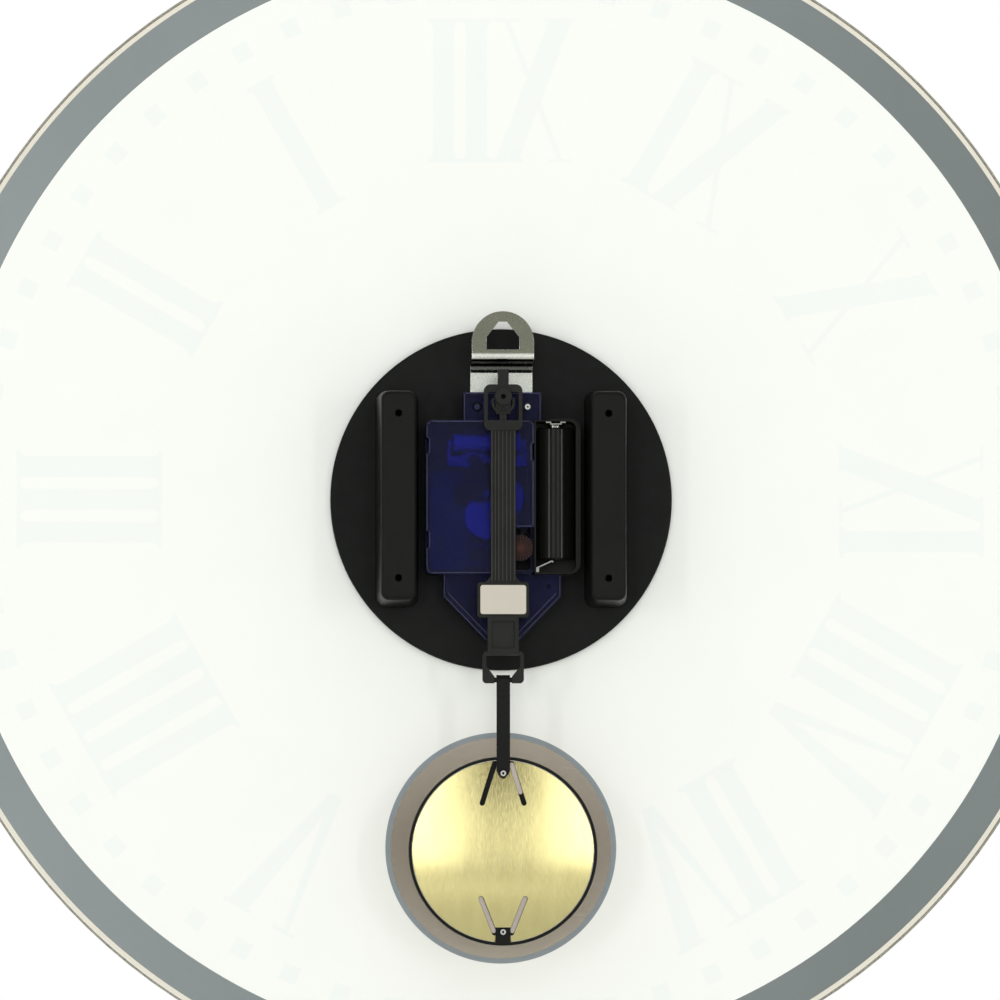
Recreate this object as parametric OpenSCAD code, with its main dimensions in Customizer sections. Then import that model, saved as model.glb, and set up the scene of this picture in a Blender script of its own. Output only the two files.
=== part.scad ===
// Pendulum wall clock: printed glass dial, quartz movement with its gear train,
// swinging pendulum, hanger and stand-off bars.
// Axes: X to the right seen from the front, Y from the dial towards the wall, Z up.
// Origin: top of the hanger hole, in the plane of the wall.

/* [Dial] */
// Diameter of the glass dial
dial_d = 435; // [425:1:450]
// Thickness of the glass
glass_t = 4; // [3:0.5:4]

/* [Back disc] */
// Diameter of the disc that carries the movement
disc_d = 125; // [122:1:140]
// Thickness of the disc
disc_t = 3; // [3:0.5:4]
// Thickness of the foam tape between disc and glass
tape_t = 1; // [0.5:0.5:1]

/* [Stand-off bars] */
// Height of the bars, from the disc to the wall
stand_off = 26; // [26:1:30]
// Length of a bar at its foot
bar_len = 79.3; // [76:0.1:82]
// Width of a bar at its foot
bar_w = 15.8; // [14:0.1:17]
// Distance between the two bars' centre lines
bar_pitch = 76.4; // [74:0.2:80]
// Distance between the two screws of a bar
bar_screw_pitch = 60; // [56:1:62]

/* [Hanger] */
// Width of the hanger strap
hanger_w = 22.7; // [22:0.1:23]
// Thickness of its sheet
hanger_t = 1.2; // [1:0.1:1.2]
// Height of the hanger hole's top above the dial's centre
hook_rise = 64; // [64:0.5:66]

/* [Movement] */
// Half the height of the movement's case
case_half = 28; // [28:0.1:28.2]
// Depth of the case
case_depth = 15.2; // [15.2:0.1:15.6]
// Wall thickness of its mouldings
case_wall = 1.2; // [1:0.1:1.2]

/* [Pendulum] */
// Height of the pendulum's pivot above the dial's centre
pivot_rise = 36.3; // [36:0.1:36.4]
// Distance from the pivot down to the middle of the bob
bob_drop = 165.3; // [164:0.1:168]
// Outside diameter of the bob
bob_d = 68.6; // [66:0.2:70]

/* [Hands] */
// Length of the minute hand from its hub
minute_len = 150; // [130:1:160]
// Length of the hour hand from its hub
hour_len = 105; // [90:1:115]
// Angle of the minute hand, clockwise from twelve
minute_angle = 60; // [0:6:354]
// Angle of the hour hand, clockwise from twelve
hour_angle = 305; // [0:1:359]

/* [Hidden] */
$fn = 64;

// Depths along Y. The wall is at y = 0.
disc_rear = -stand_off;
disc_front = disc_rear - disc_t;
glass_rear = disc_front - tape_t;
glass_front = glass_rear - glass_t;
case_front = disc_rear + hanger_t;

// Threaded bushing, hour tube and minute arbor, one inside the other
bushing_r = 3.9;
tube_r = 2.5;
arbor_r = 1.55;
running_gap = 0.07;
seat_gap = 0.02;
hour_hand_y = glass_front - 5.9;
minute_hand_y = glass_front - 8.4;
hand_t = 0.6;

// Case: side walls split at split_h, battery compartment beside the gears
plate_t = 1.5;
split_h = 6;
cover_x = -11.45;
upper_half_w = 14.2;
upper_top = 38.5;
upper_depth = 10.8;
lower_depth = 8.8;
battery_x = -19.3;
battery_r = 7;
battery_h = 8.9;
battery_bottom = -22.8;
battery_top = 26.4;

// Gear layers, as [start, end] above the case's front face
layer_hour = [1.9, 2.9];
layer_minute = [3.5, 4.5];
layer_centre = [5.2, 6.0];
layer_third = [6.8, 7.6];
layer_second = [8.4, 9.2];
layer_intermediate = [10.0, 10.8];
leaf_over = 0.2;
boss_h = 12.8;
pivot_r = 0.5;
pivot_gap = 0.06;
minute_post_r = 0.8;

// Gear modules and tooth counts
m_motion = 0.4;
m_hour = 0.384;
m_centre = 0.25;
m_third = 18 / 68;
m_second = 0.26;
m_rotor = 0.24;
cannon_n = 12;
minute_wheel_n = 36;
minute_pinion_n = 10;
hour_n = 40;
knob_n = 14;
centre_n = 64;
train_pinion_n = 8;
third_n = 60;
second_n = 60;
inter_pinion_n = 12;
inter_n = 60;
rotor_n = 10;

// Gear centres in the X-Z plane, the dial's centre being [0, 0]
centre = [0, 0];
minute_at = polar((cannon_n + minute_wheel_n) / 2 * m_motion, -105);
knob_at = minute_at + polar((minute_wheel_n + knob_n) / 2 * m_motion, -113);
third_at = polar((centre_n + train_pinion_n) / 2 * m_centre, -50);
inter_at = polar((second_n + inter_pinion_n) / 2 * m_second, 37);
rotor_at = inter_at + polar((inter_n + rotor_n) / 2 * m_rotor, 73);

// Tooth outlines as [radial distance from the pitch circle, half width], in modules
wheel_tooth = [[-1.0, -0.78], [0.45, -0.62], [0.95, -0.25],
               [0.95, 0.25], [0.45, 0.62], [-1.0, 0.78]];
leaf_half = 0.55;
leaf_root = -1.35;
leaf_tip = 0.55;

// Pendulum: the arm's plane, its hook bar and the bob
arm_front = -8;
arm_rear = -5;
post_r = 2;
strap_half = 4.55;
hook_y = -6.5;
hook_z = -66.8;
hook_bar_r = 0.9;
rod_w = 4.9;
rod_t = 0.8;
rod_end = -101.9;
rivet_top_z = -100.8;
rivet_low_z = -158.4;
bob_z = pivot_rise - bob_drop;
bob_r = bob_d / 2;
bob_face_r = bob_r - 1;
bob_core_y = [-9.0, -7.8];
bob_sag = 1.8;
bob_sheet = 0.5;

// Colours
black = "#1f211f";
bar_black = "#222320";
cover_blue = "#202a5e";
steel = "#9c9d92";
bright_steel = "#c9cbc6";
brass = "#e0d39c";
white_plastic = "#e9e9e4";
dark_plastic = "#2b2b29";

function polar(r, angle) = [r * cos(angle), r * sin(angle)];
function lift(h) = case_front + h;
function direction(a, b) = atan2(b[1] - a[1], b[0] - a[0]);
function leaf_tooth(n) = let (w = leaf_half * (n / 2 + leaf_root) / (n / 2))
    [[leaf_root, -w], [0, -leaf_half], [leaf_tip, -leaf_half / 2],
     [leaf_tip, leaf_half / 2], [0, leaf_half], [leaf_root, w]];
function gear_points(n, m, phase, tooth) = [
    for (i = [0 : n - 1], t = tooth)
        let (r = m * (n / 2 + t[0]))
        polar(r, phase + 360 * i / n + asin(t[1] * m / r))
];
// Angle of a tooth of the second gear that puts it in mesh with the first
function mesh_phase(at_1, n_1, phase_1, at_2, n_2) =
    let (a = direction(at_1, at_2)) a + 180 - (phase_1 - a) * n_1 / n_2 + 180 / n_2;

// Places a drawing made around the dial's centre in the part's own frame
module placed() {
    translate([0, 0, -hook_rise]) children();
}

// A flat drawing in X and Z, given depth from y0 to y1
module slab(y0, y1) {
    translate([0, y1, 0]) rotate([90, 0, 0]) linear_extrude(y1 - y0) children();
}

// The same between two heights above the case's front face
module layer(h0, h1) {
    slab(lift(h0), lift(h1)) children();
}

// A flat drawing in Y and Z, run along X from x0 to x1
module across(x0, x1) {
    translate([x0, 0, 0]) rotate([90, 0, 90]) linear_extrude(x1 - x0) children();
}

// A half section in radius and Y, turned about a line along Y
module turned(at = [0, 0]) {
    translate([at[0], 0, at[1]]) rotate([-90, 0, 0]) rotate_extrude() children();
}

module round_bar(r, y0, y1, at = [0, 0]) {
    translate([at[0], y0, at[1]]) rotate([-90, 0, 0]) cylinder(r = r, h = y1 - y0);
}

module round_layer(r, h0, h1, at = [0, 0]) {
    round_bar(r, lift(h0), lift(h1), at);
}

// Rectangle between two corners
module block(x0, z0, x1, z1) {
    translate([x0, z0]) square([x1 - x0, z1 - z0]);
}

// Rectangle with round corners
module rounded(x0, z0, x1, z1, r) {
    block(x0 + r, z0, x1 - r, z1);
    block(x0, z0 + r, x1, z1 - r);
    for (x = [x0 + r, x1 - r], z = [z0 + r, z1 - r]) {
        translate([x, z]) circle(r);
    }
}

// Toothed disc at a centre, between two heights
module gear(at, n, m, phase, span, tooth) {
    layer(span[0], span[1]) translate(at) polygon(gear_points(n, m, phase, tooth));
}

module wheel(at, n, m, phase, span) {
    gear(at, n, m, phase, span, wheel_tooth);
}

module pinion(at, n, m, phase, span) {
    gear(at, n, m, phase, [span[0] - leaf_over, span[1] + leaf_over], leaf_tooth(n));
}

// Round holes that lighten a wheel's web
module web_holes(at, r, count, hole_r, span) {
    for (i = [0 : count - 1]) {
        round_layer(hole_r, span[0] - 1, span[1] + 1, at + polar(r, 360 * (i + 0.5) / count));
    }
}

// Spindle between the case's front plate and a boss of its cover
module spindle(at, r, h0, h1) {
    round_layer(r, h0, h1, at);
    round_layer(pivot_r, 0.6, h0 + 0.1, at);
    round_layer(pivot_r, h1 - 0.1, boss_h + 1.5, at);
}

// ---- Dial and back disc ----

module dial_glass() {
    bevel = 0.8;
    r = dial_d / 2;
    color("#dfe8e6", 0.5) placed() turned() polygon([
        [bushing_r + 0.2, glass_front], [r - bevel, glass_front], [r, glass_front + bevel],
        [r, glass_rear - bevel], [r - bevel, glass_rear], [bushing_r + 0.2, glass_rear]]);
}

module foam_tape() {
    color("#4a4a48") placed() slab(glass_rear, disc_front) difference() {
        circle(disc_d / 2 - 7.5);
        circle(30);
    }
}

module bar_screw_places() {
    for (x = [-bar_pitch / 2, bar_pitch / 2], z = [-bar_screw_pitch / 2, bar_screw_pitch / 2]) {
        translate([x, 0, z]) children();
    }
}

// Countersunk head, wide end at the disc's front face
module countersink(r_wide, r_narrow, depth) {
    translate([0, disc_front, 0]) rotate([-90, 0, 0])
        cylinder(r1 = r_wide, r2 = r_narrow, h = depth);
}

module back_plate() {
    edge = 1;
    color(black) placed() difference() {
        turned() difference() {
            union() {
                translate([0, disc_front]) square([disc_d / 2 - edge, disc_t]);
                translate([0, disc_front]) square([disc_d / 2, disc_t - edge]);
                translate([disc_d / 2 - edge, disc_rear - edge]) circle(edge);
            }
            translate([-edge, disc_front - 1]) square([bushing_r + 0.2 + edge, disc_t + 2]);
        }
        bar_screw_places() {
            round_bar(1.7, disc_front - 1, disc_rear + 1);
            countersink(3.1, 1.7, 1.5);
        }
    }
}

// Drafted bar with round corners; flat foot on the disc and flat pad at the wall
module spacer(x) {
    pad_t = 0.4;
    color(bar_black) placed() translate([x, 0, 0]) difference() {
        union() {
            hull() {
                $fn = 32;
                slab(disc_rear, disc_rear + 0.6) bar_plan(0, 4);
                slab(-1.8, -1.6) bar_plan(2.2, 3);
                slab(-pad_t - 0.1, -pad_t) bar_plan(2.8, 2.6);
            }
            slab(-pad_t, 0) bar_plan(2.95, 2.4);
        }
        for (z = [-bar_screw_pitch / 2, bar_screw_pitch / 2]) {
            round_bar(1.2, disc_rear - 1, 1, [0, z]);
        }
    }
}

module bar_plan(inset, r) {
    half_w = bar_w / 2 - inset;
    half_l = bar_len / 2 - inset;
    rounded(-half_w, -half_l, half_w, half_l, r);
}

module spacer_left() {
    spacer(-bar_pitch / 2);
}

module spacer_right() {
    spacer(bar_pitch / 2);
}

module spacer_screws() {
    color(steel) placed() bar_screw_places() difference() {
        union() {
            countersink(2.9, 1.15, 1.6);
            round_bar(1.15, disc_front, disc_rear + 11);
        }
        translate([-2, disc_front - 0.1, -0.3]) cube([4, 0.7, 0.6]);
    }
}

// ---- Hanger and gasket ----

// Strap bent twice: flat on the disc, out towards the wall, then up
module hanger() {
    bend_r = 0.6;
    riser_z = 49.4;
    plate_y = -10.4;
    hole_half = 5.95;
    color(steel) placed() difference() {
        intersection() {
            across(-hanger_w / 2, hanger_w / 2) {
                block(disc_rear, -9, case_front, riser_z - bend_r);
                bend([case_front + bend_r, riser_z - bend_r], bend_r, [-1, 1]);
                block(case_front + bend_r, riser_z, plate_y, riser_z + hanger_t);
                bend([plate_y, riser_z + hanger_t + bend_r], bend_r, [1, -1]);
                block(plate_y + bend_r, riser_z + hanger_t + bend_r,
                      plate_y + bend_r + hanger_t, hook_rise + 6);
            }
            slab(disc_rear - 1, 0) {
                rounded(-hanger_w / 2, -9, hanger_w / 2, 30, 3);
                block(-hanger_w / 2, 20, hanger_w / 2, hook_rise - 7.6);
                translate([0, hook_rise - 7.6]) circle(hanger_w / 2);
            }
        }
        slab(plate_y - 1, 0) polygon([
            [-hole_half, hook_rise - 10.2], [hole_half, hook_rise - 10.2],
            [hole_half, hook_rise - 5.7], [1.5, hook_rise],
            [-1.5, hook_rise], [-hole_half, hook_rise - 5.7]]);
        round_bar(bushing_r + 0.2, disc_rear - 1, case_front + 1);
        slab(case_front - 0.5, case_front + 1) block(-hanger_w, 46.4, hanger_w, 47.4);
    }
}

// Quarter ring of sheet around a bend's centre, towards the given quadrant
module bend(at, r, side) {
    translate(at) intersection() {
        difference() {
            circle(r + hanger_t);
            circle(r);
        }
        translate([side[0] > 0 ? 0 : -5, side[1] > 0 ? 0 : -5]) square(5);
    }
}

module gasket() {
    color("#2a2a2a") placed() slab(disc_rear, case_front) difference() {
        rounded(-26, -26, 26, 26, 2);
        block(-hanger_w / 2 - 0.2, -9.2, hanger_w / 2 + 0.2, 30);
    }
}

// ---- Movement case ----

module gear_case_plan(inset) {
    rounded(cover_x + inset, -case_half + inset, 28 - inset, case_half - inset, 2);
}

module battery_plan() {
    rounded(-28.4, -case_half, -14.4, case_half + 0.6, 4);
    block(-21, -case_half, cover_x - 0.05, case_half);
}

module upper_plan(inset) {
    block(-upper_half_w + inset, case_half, upper_half_w - inset, upper_top - inset);
}

module lower_plan(inset) {
    polygon([[-21.5 + inset, -case_half], [-21.5 + inset, -36 + inset / 2],
             [-6 + inset / 2, -52 + inset], [6 - inset / 2, -52 + inset],
             [21.5 - inset, -36 + inset / 2], [21.5 - inset, -case_half]]);
}

module movement_base() {
    color(black) placed() difference() {
        union() {
            layer(0, split_h) {
                gear_case_plan(0);
                upper_plan(0);
                lower_plan(0);
            }
            layer(0, case_depth) battery_plan();
        }
        layer(plate_t, split_h + 1) {
            gear_case_plan(case_wall);
            upper_plan(case_wall);
            lower_plan(case_wall);
        }
        layer(plate_t, case_depth + 1) {
            rounded(-26.6, -27.4, -17, 27.6, 2.5);
            block(-20, -27.4, -12.1, 27.6);
        }
        round_layer(bushing_r + seat_gap, -1, plate_t + 1);
        for (at = [knob_at, third_at, inter_at, rotor_at]) {
            round_layer(pivot_r + pivot_gap, 0.5, plate_t + 1, at);
        }
    }
    color(black) placed() round_layer(minute_post_r, plate_t - 0.5, layer_minute[1] + 0.4, minute_at);
}

module movement_cover() {
    recess_h = 9.8;
    color(cover_blue, 0.75) placed() difference() {
        union() {
            difference() {
                union() {
                    layer(split_h, case_depth) gear_case_plan(0);
                    layer(split_h, upper_depth) upper_plan(0);
                    layer(split_h, lower_depth) lower_plan(0);
                }
                layer(split_h - 1, case_depth - case_wall) gear_case_plan(case_wall);
                layer(split_h - 1, upper_depth - case_wall) upper_plan(case_wall);
                layer(split_h - 1, lower_depth - case_wall) lower_plan(case_wall);
            }
            for (at = [centre, third_at, inter_at, rotor_at]) {
                round_layer(1.3, boss_h, case_depth - case_wall + 0.5, at);
            }
        }
        for (at = [centre, third_at, inter_at, rotor_at]) {
            round_layer(pivot_r + pivot_gap, boss_h - 1, boss_h + 1.7, at);
        }
        layer(11.6, case_depth + 1) block(cover_x - 1, -26.8, -1, -11);
        layer(split_h + 2, case_depth + 1) {
            block(27, 16, 29, 21.5);
            block(27, -18.5, 29, -12.5);
            block(cover_x - 1, 13.5, cover_x + 0.7, 19.5);
        }
        round_layer(2.5, recess_h, upper_depth + 1, [9.2, 33.2]);
        round_layer(1.0, upper_depth - 2, upper_depth + 1, [-9.5, 33.1]);
        round_layer(0.9, recess_h - 2, upper_depth + 1, [9.2, 33.2]);
        round_layer(1.1, lower_depth - 2, lower_depth + 1, [-17, -32.3]);
    }
}

// Screw in the round recess, and the bright pin beside the pendulum's head
module case_screws() {
    color(bright_steel) placed() {
        difference() {
            union() {
                round_layer(1.7, 9.8, 10.6, [9.2, 33.2]);
                round_layer(0.85, 6.5, 10, [9.2, 33.2]);
            }
            layer(10.2, 11) translate([9.2, 33.2]) rotate(35) square([3.6, 0.5], center = true);
        }
        difference() {
            union() {
                round_layer(0.95, 8.0, 10.9, [-9.5, 33.1]);
                round_layer(1.35, 10.8, 11.2, [-9.5, 33.1]);
            }
            round_layer(0.35, 10.6, 12, [-9.5, 33.1]);
        }
    }
}

// ---- Bushing, nut and hands ----

module threaded_bushing() {
    color(brass) placed() turned() difference() {
        union() {
            translate([0, glass_front - 4.5]) square([bushing_r, lift(plate_t) - glass_front + 4.5]);
            translate([0, lift(plate_t)]) square([5.2, 0.25]);
        }
        translate([-1, glass_front - 6]) square([tube_r + running_gap + 1, 30]);
    }
}

module dial_washer() {
    color(brass) placed() slab(glass_front - 0.6, glass_front) difference() {
        circle(9);
        circle(bushing_r + 0.1);
    }
}

module mounting_nut() {
    color(brass) placed() slab(glass_front - 3.2, glass_front - 0.6) difference() {
        circle(7, $fn = 6);
        circle(bushing_r + seat_gap);
    }
}

// Tapered hand pointing up before it is turned, with a round hub
module hand_plan(length, half_w, hub_r, tail) {
    difference() {
        union() {
            circle(hub_r);
            polygon([[-half_w * 0.45, -tail], [half_w * 0.45, -tail], [half_w, length * 0.18],
                     [half_w * 0.85, length * 0.72], [0, length],
                     [-half_w * 0.85, length * 0.72], [-half_w, length * 0.18]]);
        }
        polygon([[-half_w * 0.35, length * 0.25], [half_w * 0.35, length * 0.25],
                 [half_w * 0.3, length * 0.7], [-half_w * 0.3, length * 0.7]]);
    }
}

module minute_hand() {
    color("#3c4a52") placed() slab(minute_hand_y, minute_hand_y + hand_t) difference() {
        rotate(-minute_angle) hand_plan(minute_len, 4.2, 6, 22);
        circle(arbor_r + seat_gap);
    }
}

module hour_hand() {
    color("#3c4a52") placed() slab(hour_hand_y, hour_hand_y + hand_t) difference() {
        rotate(-hour_angle) hand_plan(hour_len, 5.4, 7.5, 18);
        circle(tube_r + seat_gap);
    }
}

module hand_cap() {
    color(brass) placed() turned() difference() {
        union() {
            translate([0, minute_hand_y - 1.4]) square([3.0, 1.4]);
            intersection() {
                translate([0, minute_hand_y + 1.6]) circle(4.243);
                translate([0, minute_hand_y - 3]) square([3.0, 1.8]);
            }
        }
        translate([-1, minute_hand_y - 1]) square([arbor_r + seat_gap + 1, 2]);
    }
}

// ---- Motion work ----

// Minute arbor with its cannon pinion; its inner end is the second wheel's bearing
module centre_arbor() {
    color(brass) placed() difference() {
        union() {
            round_bar(arbor_r, minute_hand_y - 0.9, lift(6.4));
            pinion(centre, cannon_n, m_motion, mesh_phase(minute_at, minute_wheel_n,
                   direction(minute_at, centre), centre, cannon_n), layer_minute);
        }
        round_layer(0.46, 4.2, 7);
    }
}

module hour_wheel() {
    color(dark_plastic) placed() difference() {
        union() {
            wheel(centre, hour_n, m_hour, direction(centre, minute_at), layer_hour);
            round_bar(tube_r, hour_hand_y - 0.7, lift(layer_hour[1]));
        }
        round_bar(arbor_r + running_gap, hour_hand_y - 2, lift(layer_hour[1] + 1));
    }
}

module minute_wheel() {
    color(dark_plastic) placed() difference() {
        union() {
            wheel(minute_at, minute_wheel_n, m_motion, direction(minute_at, centre), layer_minute);
            pinion(minute_at, minute_pinion_n, m_hour, mesh_phase(centre, hour_n,
                   direction(centre, minute_at), minute_at, minute_pinion_n), layer_hour);
            round_layer(1.3, layer_hour[0], layer_minute[1] + 0.2, minute_at);
        }
        web_holes(minute_at, 4.4, 4, 1.4, layer_minute);
        round_layer(minute_post_r + 0.05, 1, 6, minute_at);
    }
}

// Setting knob: pinion below, ribbed disc in the cover's recess
module set_knob() {
    knob_r = 4.8;
    ribs = 24;
    color("#4a2a1e") placed() {
        pinion(knob_at, knob_n, m_motion, mesh_phase(minute_at, minute_wheel_n,
               direction(minute_at, centre), knob_at, knob_n), layer_minute);
        round_layer(pivot_r, 0.6, 3.4, knob_at);
        round_layer(1.2, 3.3, 12.6, knob_at);
        round_layer(knob_r, 12.4, 13.9, knob_at);
        round_layer(1.4, 13.8, 14.5, knob_at);
        for (i = [0 : ribs - 1]) {
            layer(13.8, 14.4) translate(knob_at) rotate(360 * i / ribs)
                translate([1.2, -0.16]) square([knob_r - 1.3, 0.32]);
        }
    }
}

// ---- Time train ----

// Driven wheel that slips on the arbor when the hands are set
module centre_wheel() {
    color(dark_plastic) placed() difference() {
        wheel(centre, centre_n, m_centre, direction(centre, third_at), layer_centre);
        round_layer(arbor_r + 0.05, 4, 7);
        web_holes(centre, 4.9, 5, 1.4, layer_centre);
    }
}

module third_wheel() {
    color(white_plastic) placed() {
        wheel(third_at, third_n, m_third, direction(third_at, centre), layer_third);
        pinion(third_at, train_pinion_n, m_centre, mesh_phase(centre, centre_n,
               direction(centre, third_at), third_at, train_pinion_n), layer_centre);
        spindle(third_at, 0.6, layer_centre[0] - 0.6, boss_h - 0.3);
    }
}

module second_wheel() {
    color(white_plastic) placed() {
        wheel(centre, second_n, m_second, direction(centre, inter_at), layer_second);
        pinion(centre, train_pinion_n, m_third, mesh_phase(third_at, third_n,
               direction(third_at, centre), centre, train_pinion_n), layer_third);
        round_layer(0.6, layer_third[0], boss_h - 0.3);
        round_layer(0.4, 4.6, layer_third[0]);
        round_layer(pivot_r, boss_h - 0.4, boss_h + 1.5);
    }
}

module intermediate_wheel() {
    color(dark_plastic) placed() {
        difference() {
            wheel(inter_at, inter_n, m_rotor, direction(inter_at, rotor_at), layer_intermediate);
            web_holes(inter_at, 4.4, 5, 1.3, layer_intermediate);
        }
        pinion(inter_at, inter_pinion_n, m_second, mesh_phase(centre, second_n,
               direction(centre, inter_at), inter_at, inter_pinion_n), layer_second);
        spindle(inter_at, 0.8, 7.2, boss_h - 0.3);
    }
}

// Rotor: round magnet inside the stator, pinion above it
module rotor() {
    color("#55565a") placed() {
        round_layer(1.9, 6, 8, rotor_at);
        pinion(rotor_at, rotor_n, m_rotor, mesh_phase(inter_at, inter_n,
               direction(inter_at, rotor_at), rotor_at, rotor_n), layer_intermediate);
        spindle(rotor_at, 0.7, 5.4, boss_h - 0.3);
    }
}

// ---- Step motor ----

coil_z = 20.1;
coil_h = 7;
coil_x = [-6.5, 17.5];

module motor_stator() {
    color(steel) placed() layer(6.3, 7.7) difference() {
        union() {
            block(-9, 19.1, 20, 21.1);
            block(-9, 11.6, -7.7, 21.1);
            block(18.7, 11.6, 20, 21.1);
            block(-9, 11.6, 20, 15.6);
            rounded(rotor_at[0] - 3.6, rotor_at[1] - 3.1, rotor_at[0] + 3.6, rotor_at[1] + 3.1, 1);
        }
        translate(rotor_at) circle(2.4);
    }
}

module motor_bobbin() {
    color(white_plastic) placed() difference() {
        union() {
            translate([coil_x[0], lift(coil_h), coil_z]) rotate([0, 90, 0])
                cylinder(r = 1.7, h = coil_x[1] - coil_x[0]);
            for (x = [coil_x[0], coil_x[1] - 0.8]) {
                translate([x, lift(coil_h) - 3.2, coil_z - 3.1]) cube([0.8, 6.4, 6.2]);
            }
        }
        translate([coil_x[0] - 1, lift(6.25), 19.05]) cube([coil_x[1] - coil_x[0] + 2, 1.5, 2.1]);
    }
}

module motor_winding() {
    color("#a5603a") placed() translate([coil_x[0] + 0.85, lift(coil_h), coil_z])
        rotate([0, 90, 0]) difference() {
            cylinder(r = 3, h = coil_x[1] - coil_x[0] - 1.7);
            translate([0, 0, -1]) cylinder(r = 1.75, h = coil_x[1] - coil_x[0] + 2);
        }
}

// ---- Circuit and battery contacts ----

module circuit_board() {
    color("#1f5a3a") placed() layer(2.2, 3.0) difference() {
        rounded(12, -26.3, 26.3, 10, 1.5);
        translate([19, -23]) circle(0.8);
        translate([24, 6]) circle(0.8);
    }
}

module control_chip() {
    color("#161616") placed() layer(3.0, 4.4) rounded(12.6, -2.6, 17.2, 4.6, 0.4);
}

module quartz_crystal() {
    color(bright_steel) placed() {
        translate([22, lift(4.1), -20]) cylinder(r = 1.05, h = 6);
        for (x = [21.6, 22.4]) {
            translate([x, lift(4.1), -22]) cylinder(r = 0.15, h = 2.1);
        }
    }
}

// Two flat springs under the cover that lead down to the circuit board
module contact_strips() {
    color(steel) placed() for (z = [-18.8, -25.1]) {
        translate([0.5, lift(12.6), z]) cube([12.3, 0.4, 1.8]);
        translate([12.4, lift(3.0), z]) cube([0.4, 9.7, 1.8]);
    }
}

module positive_contact() {
    t = 0.5;
    color(bright_steel) placed() layer(4, 15.5) {
        block(battery_x - 3.6, 27.05, battery_x - 1.7, 27.05 + t);
        block(battery_x + 1.7, 27.05, battery_x + 3.6, 27.05 + t);
        block(battery_x - 2.1, battery_top + 0.02, battery_x + 2.1, battery_top + t);
        block(battery_x - 2.1, battery_top + 0.02, battery_x - 1.7, 27.5);
        block(battery_x + 1.7, battery_top + 0.02, battery_x + 2.1, 27.5);
    }
}

// Bent leaf spring that presses on the battery's flat end
module negative_contact() {
    color(bright_steel) placed() layer(3, 14.8) {
        polygon([[-12.15, -26.2], [-12.15, -25.7], [-17.6, -23.1], [-18.3, -23.2],
                 [-18.5, -23.6], [-18.3, -23.9], [-17.8, -23.6]]);
        block(-13.2, -27.35, -12.15, -25.7);
    }
}

module battery() {
    edge = 0.6;
    color("#2c2d2b") placed() translate([battery_x, lift(battery_h), 0]) rotate_extrude()
        polygon([[0, battery_bottom], [battery_r - edge, battery_bottom],
                 [battery_r, battery_bottom + edge], [battery_r, battery_top - 1 - edge],
                 [battery_r - edge, battery_top - 1], [0, battery_top - 1]]);
}

module battery_cap() {
    color(bright_steel) placed() translate([battery_x, lift(battery_h), battery_top - 1])
        cylinder(r = 2.75, h = 1);
}

// ---- Pendulum drive coil and pivot ----

drive_coil_z = -37.5;

module drive_coil_bobbin() {
    color(white_plastic) placed() turned([0, drive_coil_z]) difference() {
        union() {
            translate([0, lift(1.6)]) square([7.6, 0.8]);
            translate([0, lift(1.6)]) square([2.4, 5.4]);
            translate([0, lift(6.2)]) square([7.6, 0.8]);
        }
        translate([-1, lift(1)]) square([2.2, 8]);
    }
}

module drive_coil_winding() {
    color("#a5603a") placed() turned([0, drive_coil_z])
        translate([2.45, lift(2.45)]) square([4.6, 3.7]);
}

module pivot_post() {
    head_r = 3.05;
    color(dark_plastic) placed() turned([0, pivot_rise]) difference() {
        union() {
            translate([0, lift(upper_depth)]) square([post_r, -3.4 - lift(upper_depth)]);
            translate([0, -4.6]) square([head_r, 1.2]);
        }
        translate([-1, -4.4]) square([1.9, 2]);
    }
}

// ---- Pendulum ----

// Moulded arm: head frame with its hub, ribbed strap, magnet frame and hook loop
module pendulum_arm() {
    color(dark_plastic) placed() difference() {
        union() {
            arm_head();
            arm_strap();
            arm_magnet_frame();
            arm_loop();
        }
        round_bar(post_r + 0.06, arm_front - 1, arm_rear + 1, [0, pivot_rise]);
        round_bar(0.9, arm_rear - 1, arm_rear + 1, [0, pivot_rise - 4.6]);
        slab(-9.95, 0) rounded(-8.4, -42.95, 8.4, -32.25, 1);
        slab(arm_rear - 0.8, 0) rounded(-4.2, -55.4, 4.2, -45.4, 0.8);
    }
}

module arm_head() {
    slab(arm_front, arm_rear) {
        difference() {
            rounded(-7, 24, 7, 40.8, 2.4);
            rounded(-5.6, 25.3, 5.6, 38, 0.8);
        }
        block(-1.98, 40, 1.98, 46.3);
        block(-5.7, 25.2, 5.7, 27.7);
    }
    slab(arm_front, arm_rear - 0.6) {
        translate([0, pivot_rise]) circle(3.3);
        polygon([[-2.6, 30], [2.6, 30], [2.9, 35], [-2.9, 35]]);
        block(-1.3, 27, 1.3, 31);
    }
    slab(arm_front, arm_rear - 0.2) difference() {
        translate([0, pivot_rise - 2]) circle(4.3);
        translate([0, pivot_rise - 2]) circle(3.4);
        block(-6, pivot_rise - 0.5, 6, pivot_rise + 4);
    }
}

module arm_strap() {
    slab(arm_front, arm_rear - 0.5) {
        block(-strap_half, -32, strap_half, 24.5);
        polygon([[-strap_half, -29], [strap_half, -29], [6.6, -31.6], [-6.6, -31.6]]);
        block(-5.65, -57.2, 5.65, -43.5);
    }
    slab(arm_rear - 0.6, arm_rear) {
        for (x = [-strap_half, -1.75, 1.15, strap_half - 0.9]) {
            block(x, -31.6, x + 0.9, 24.4);
        }
        block(-5.65, -57.2, 5.65, -43.5);
    }
}

module arm_magnet_frame() {
    slab(-11.2, arm_rear - 0.2) rounded(-9.4, -44.1, 9.4, -31.3, 1.2);
}

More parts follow.
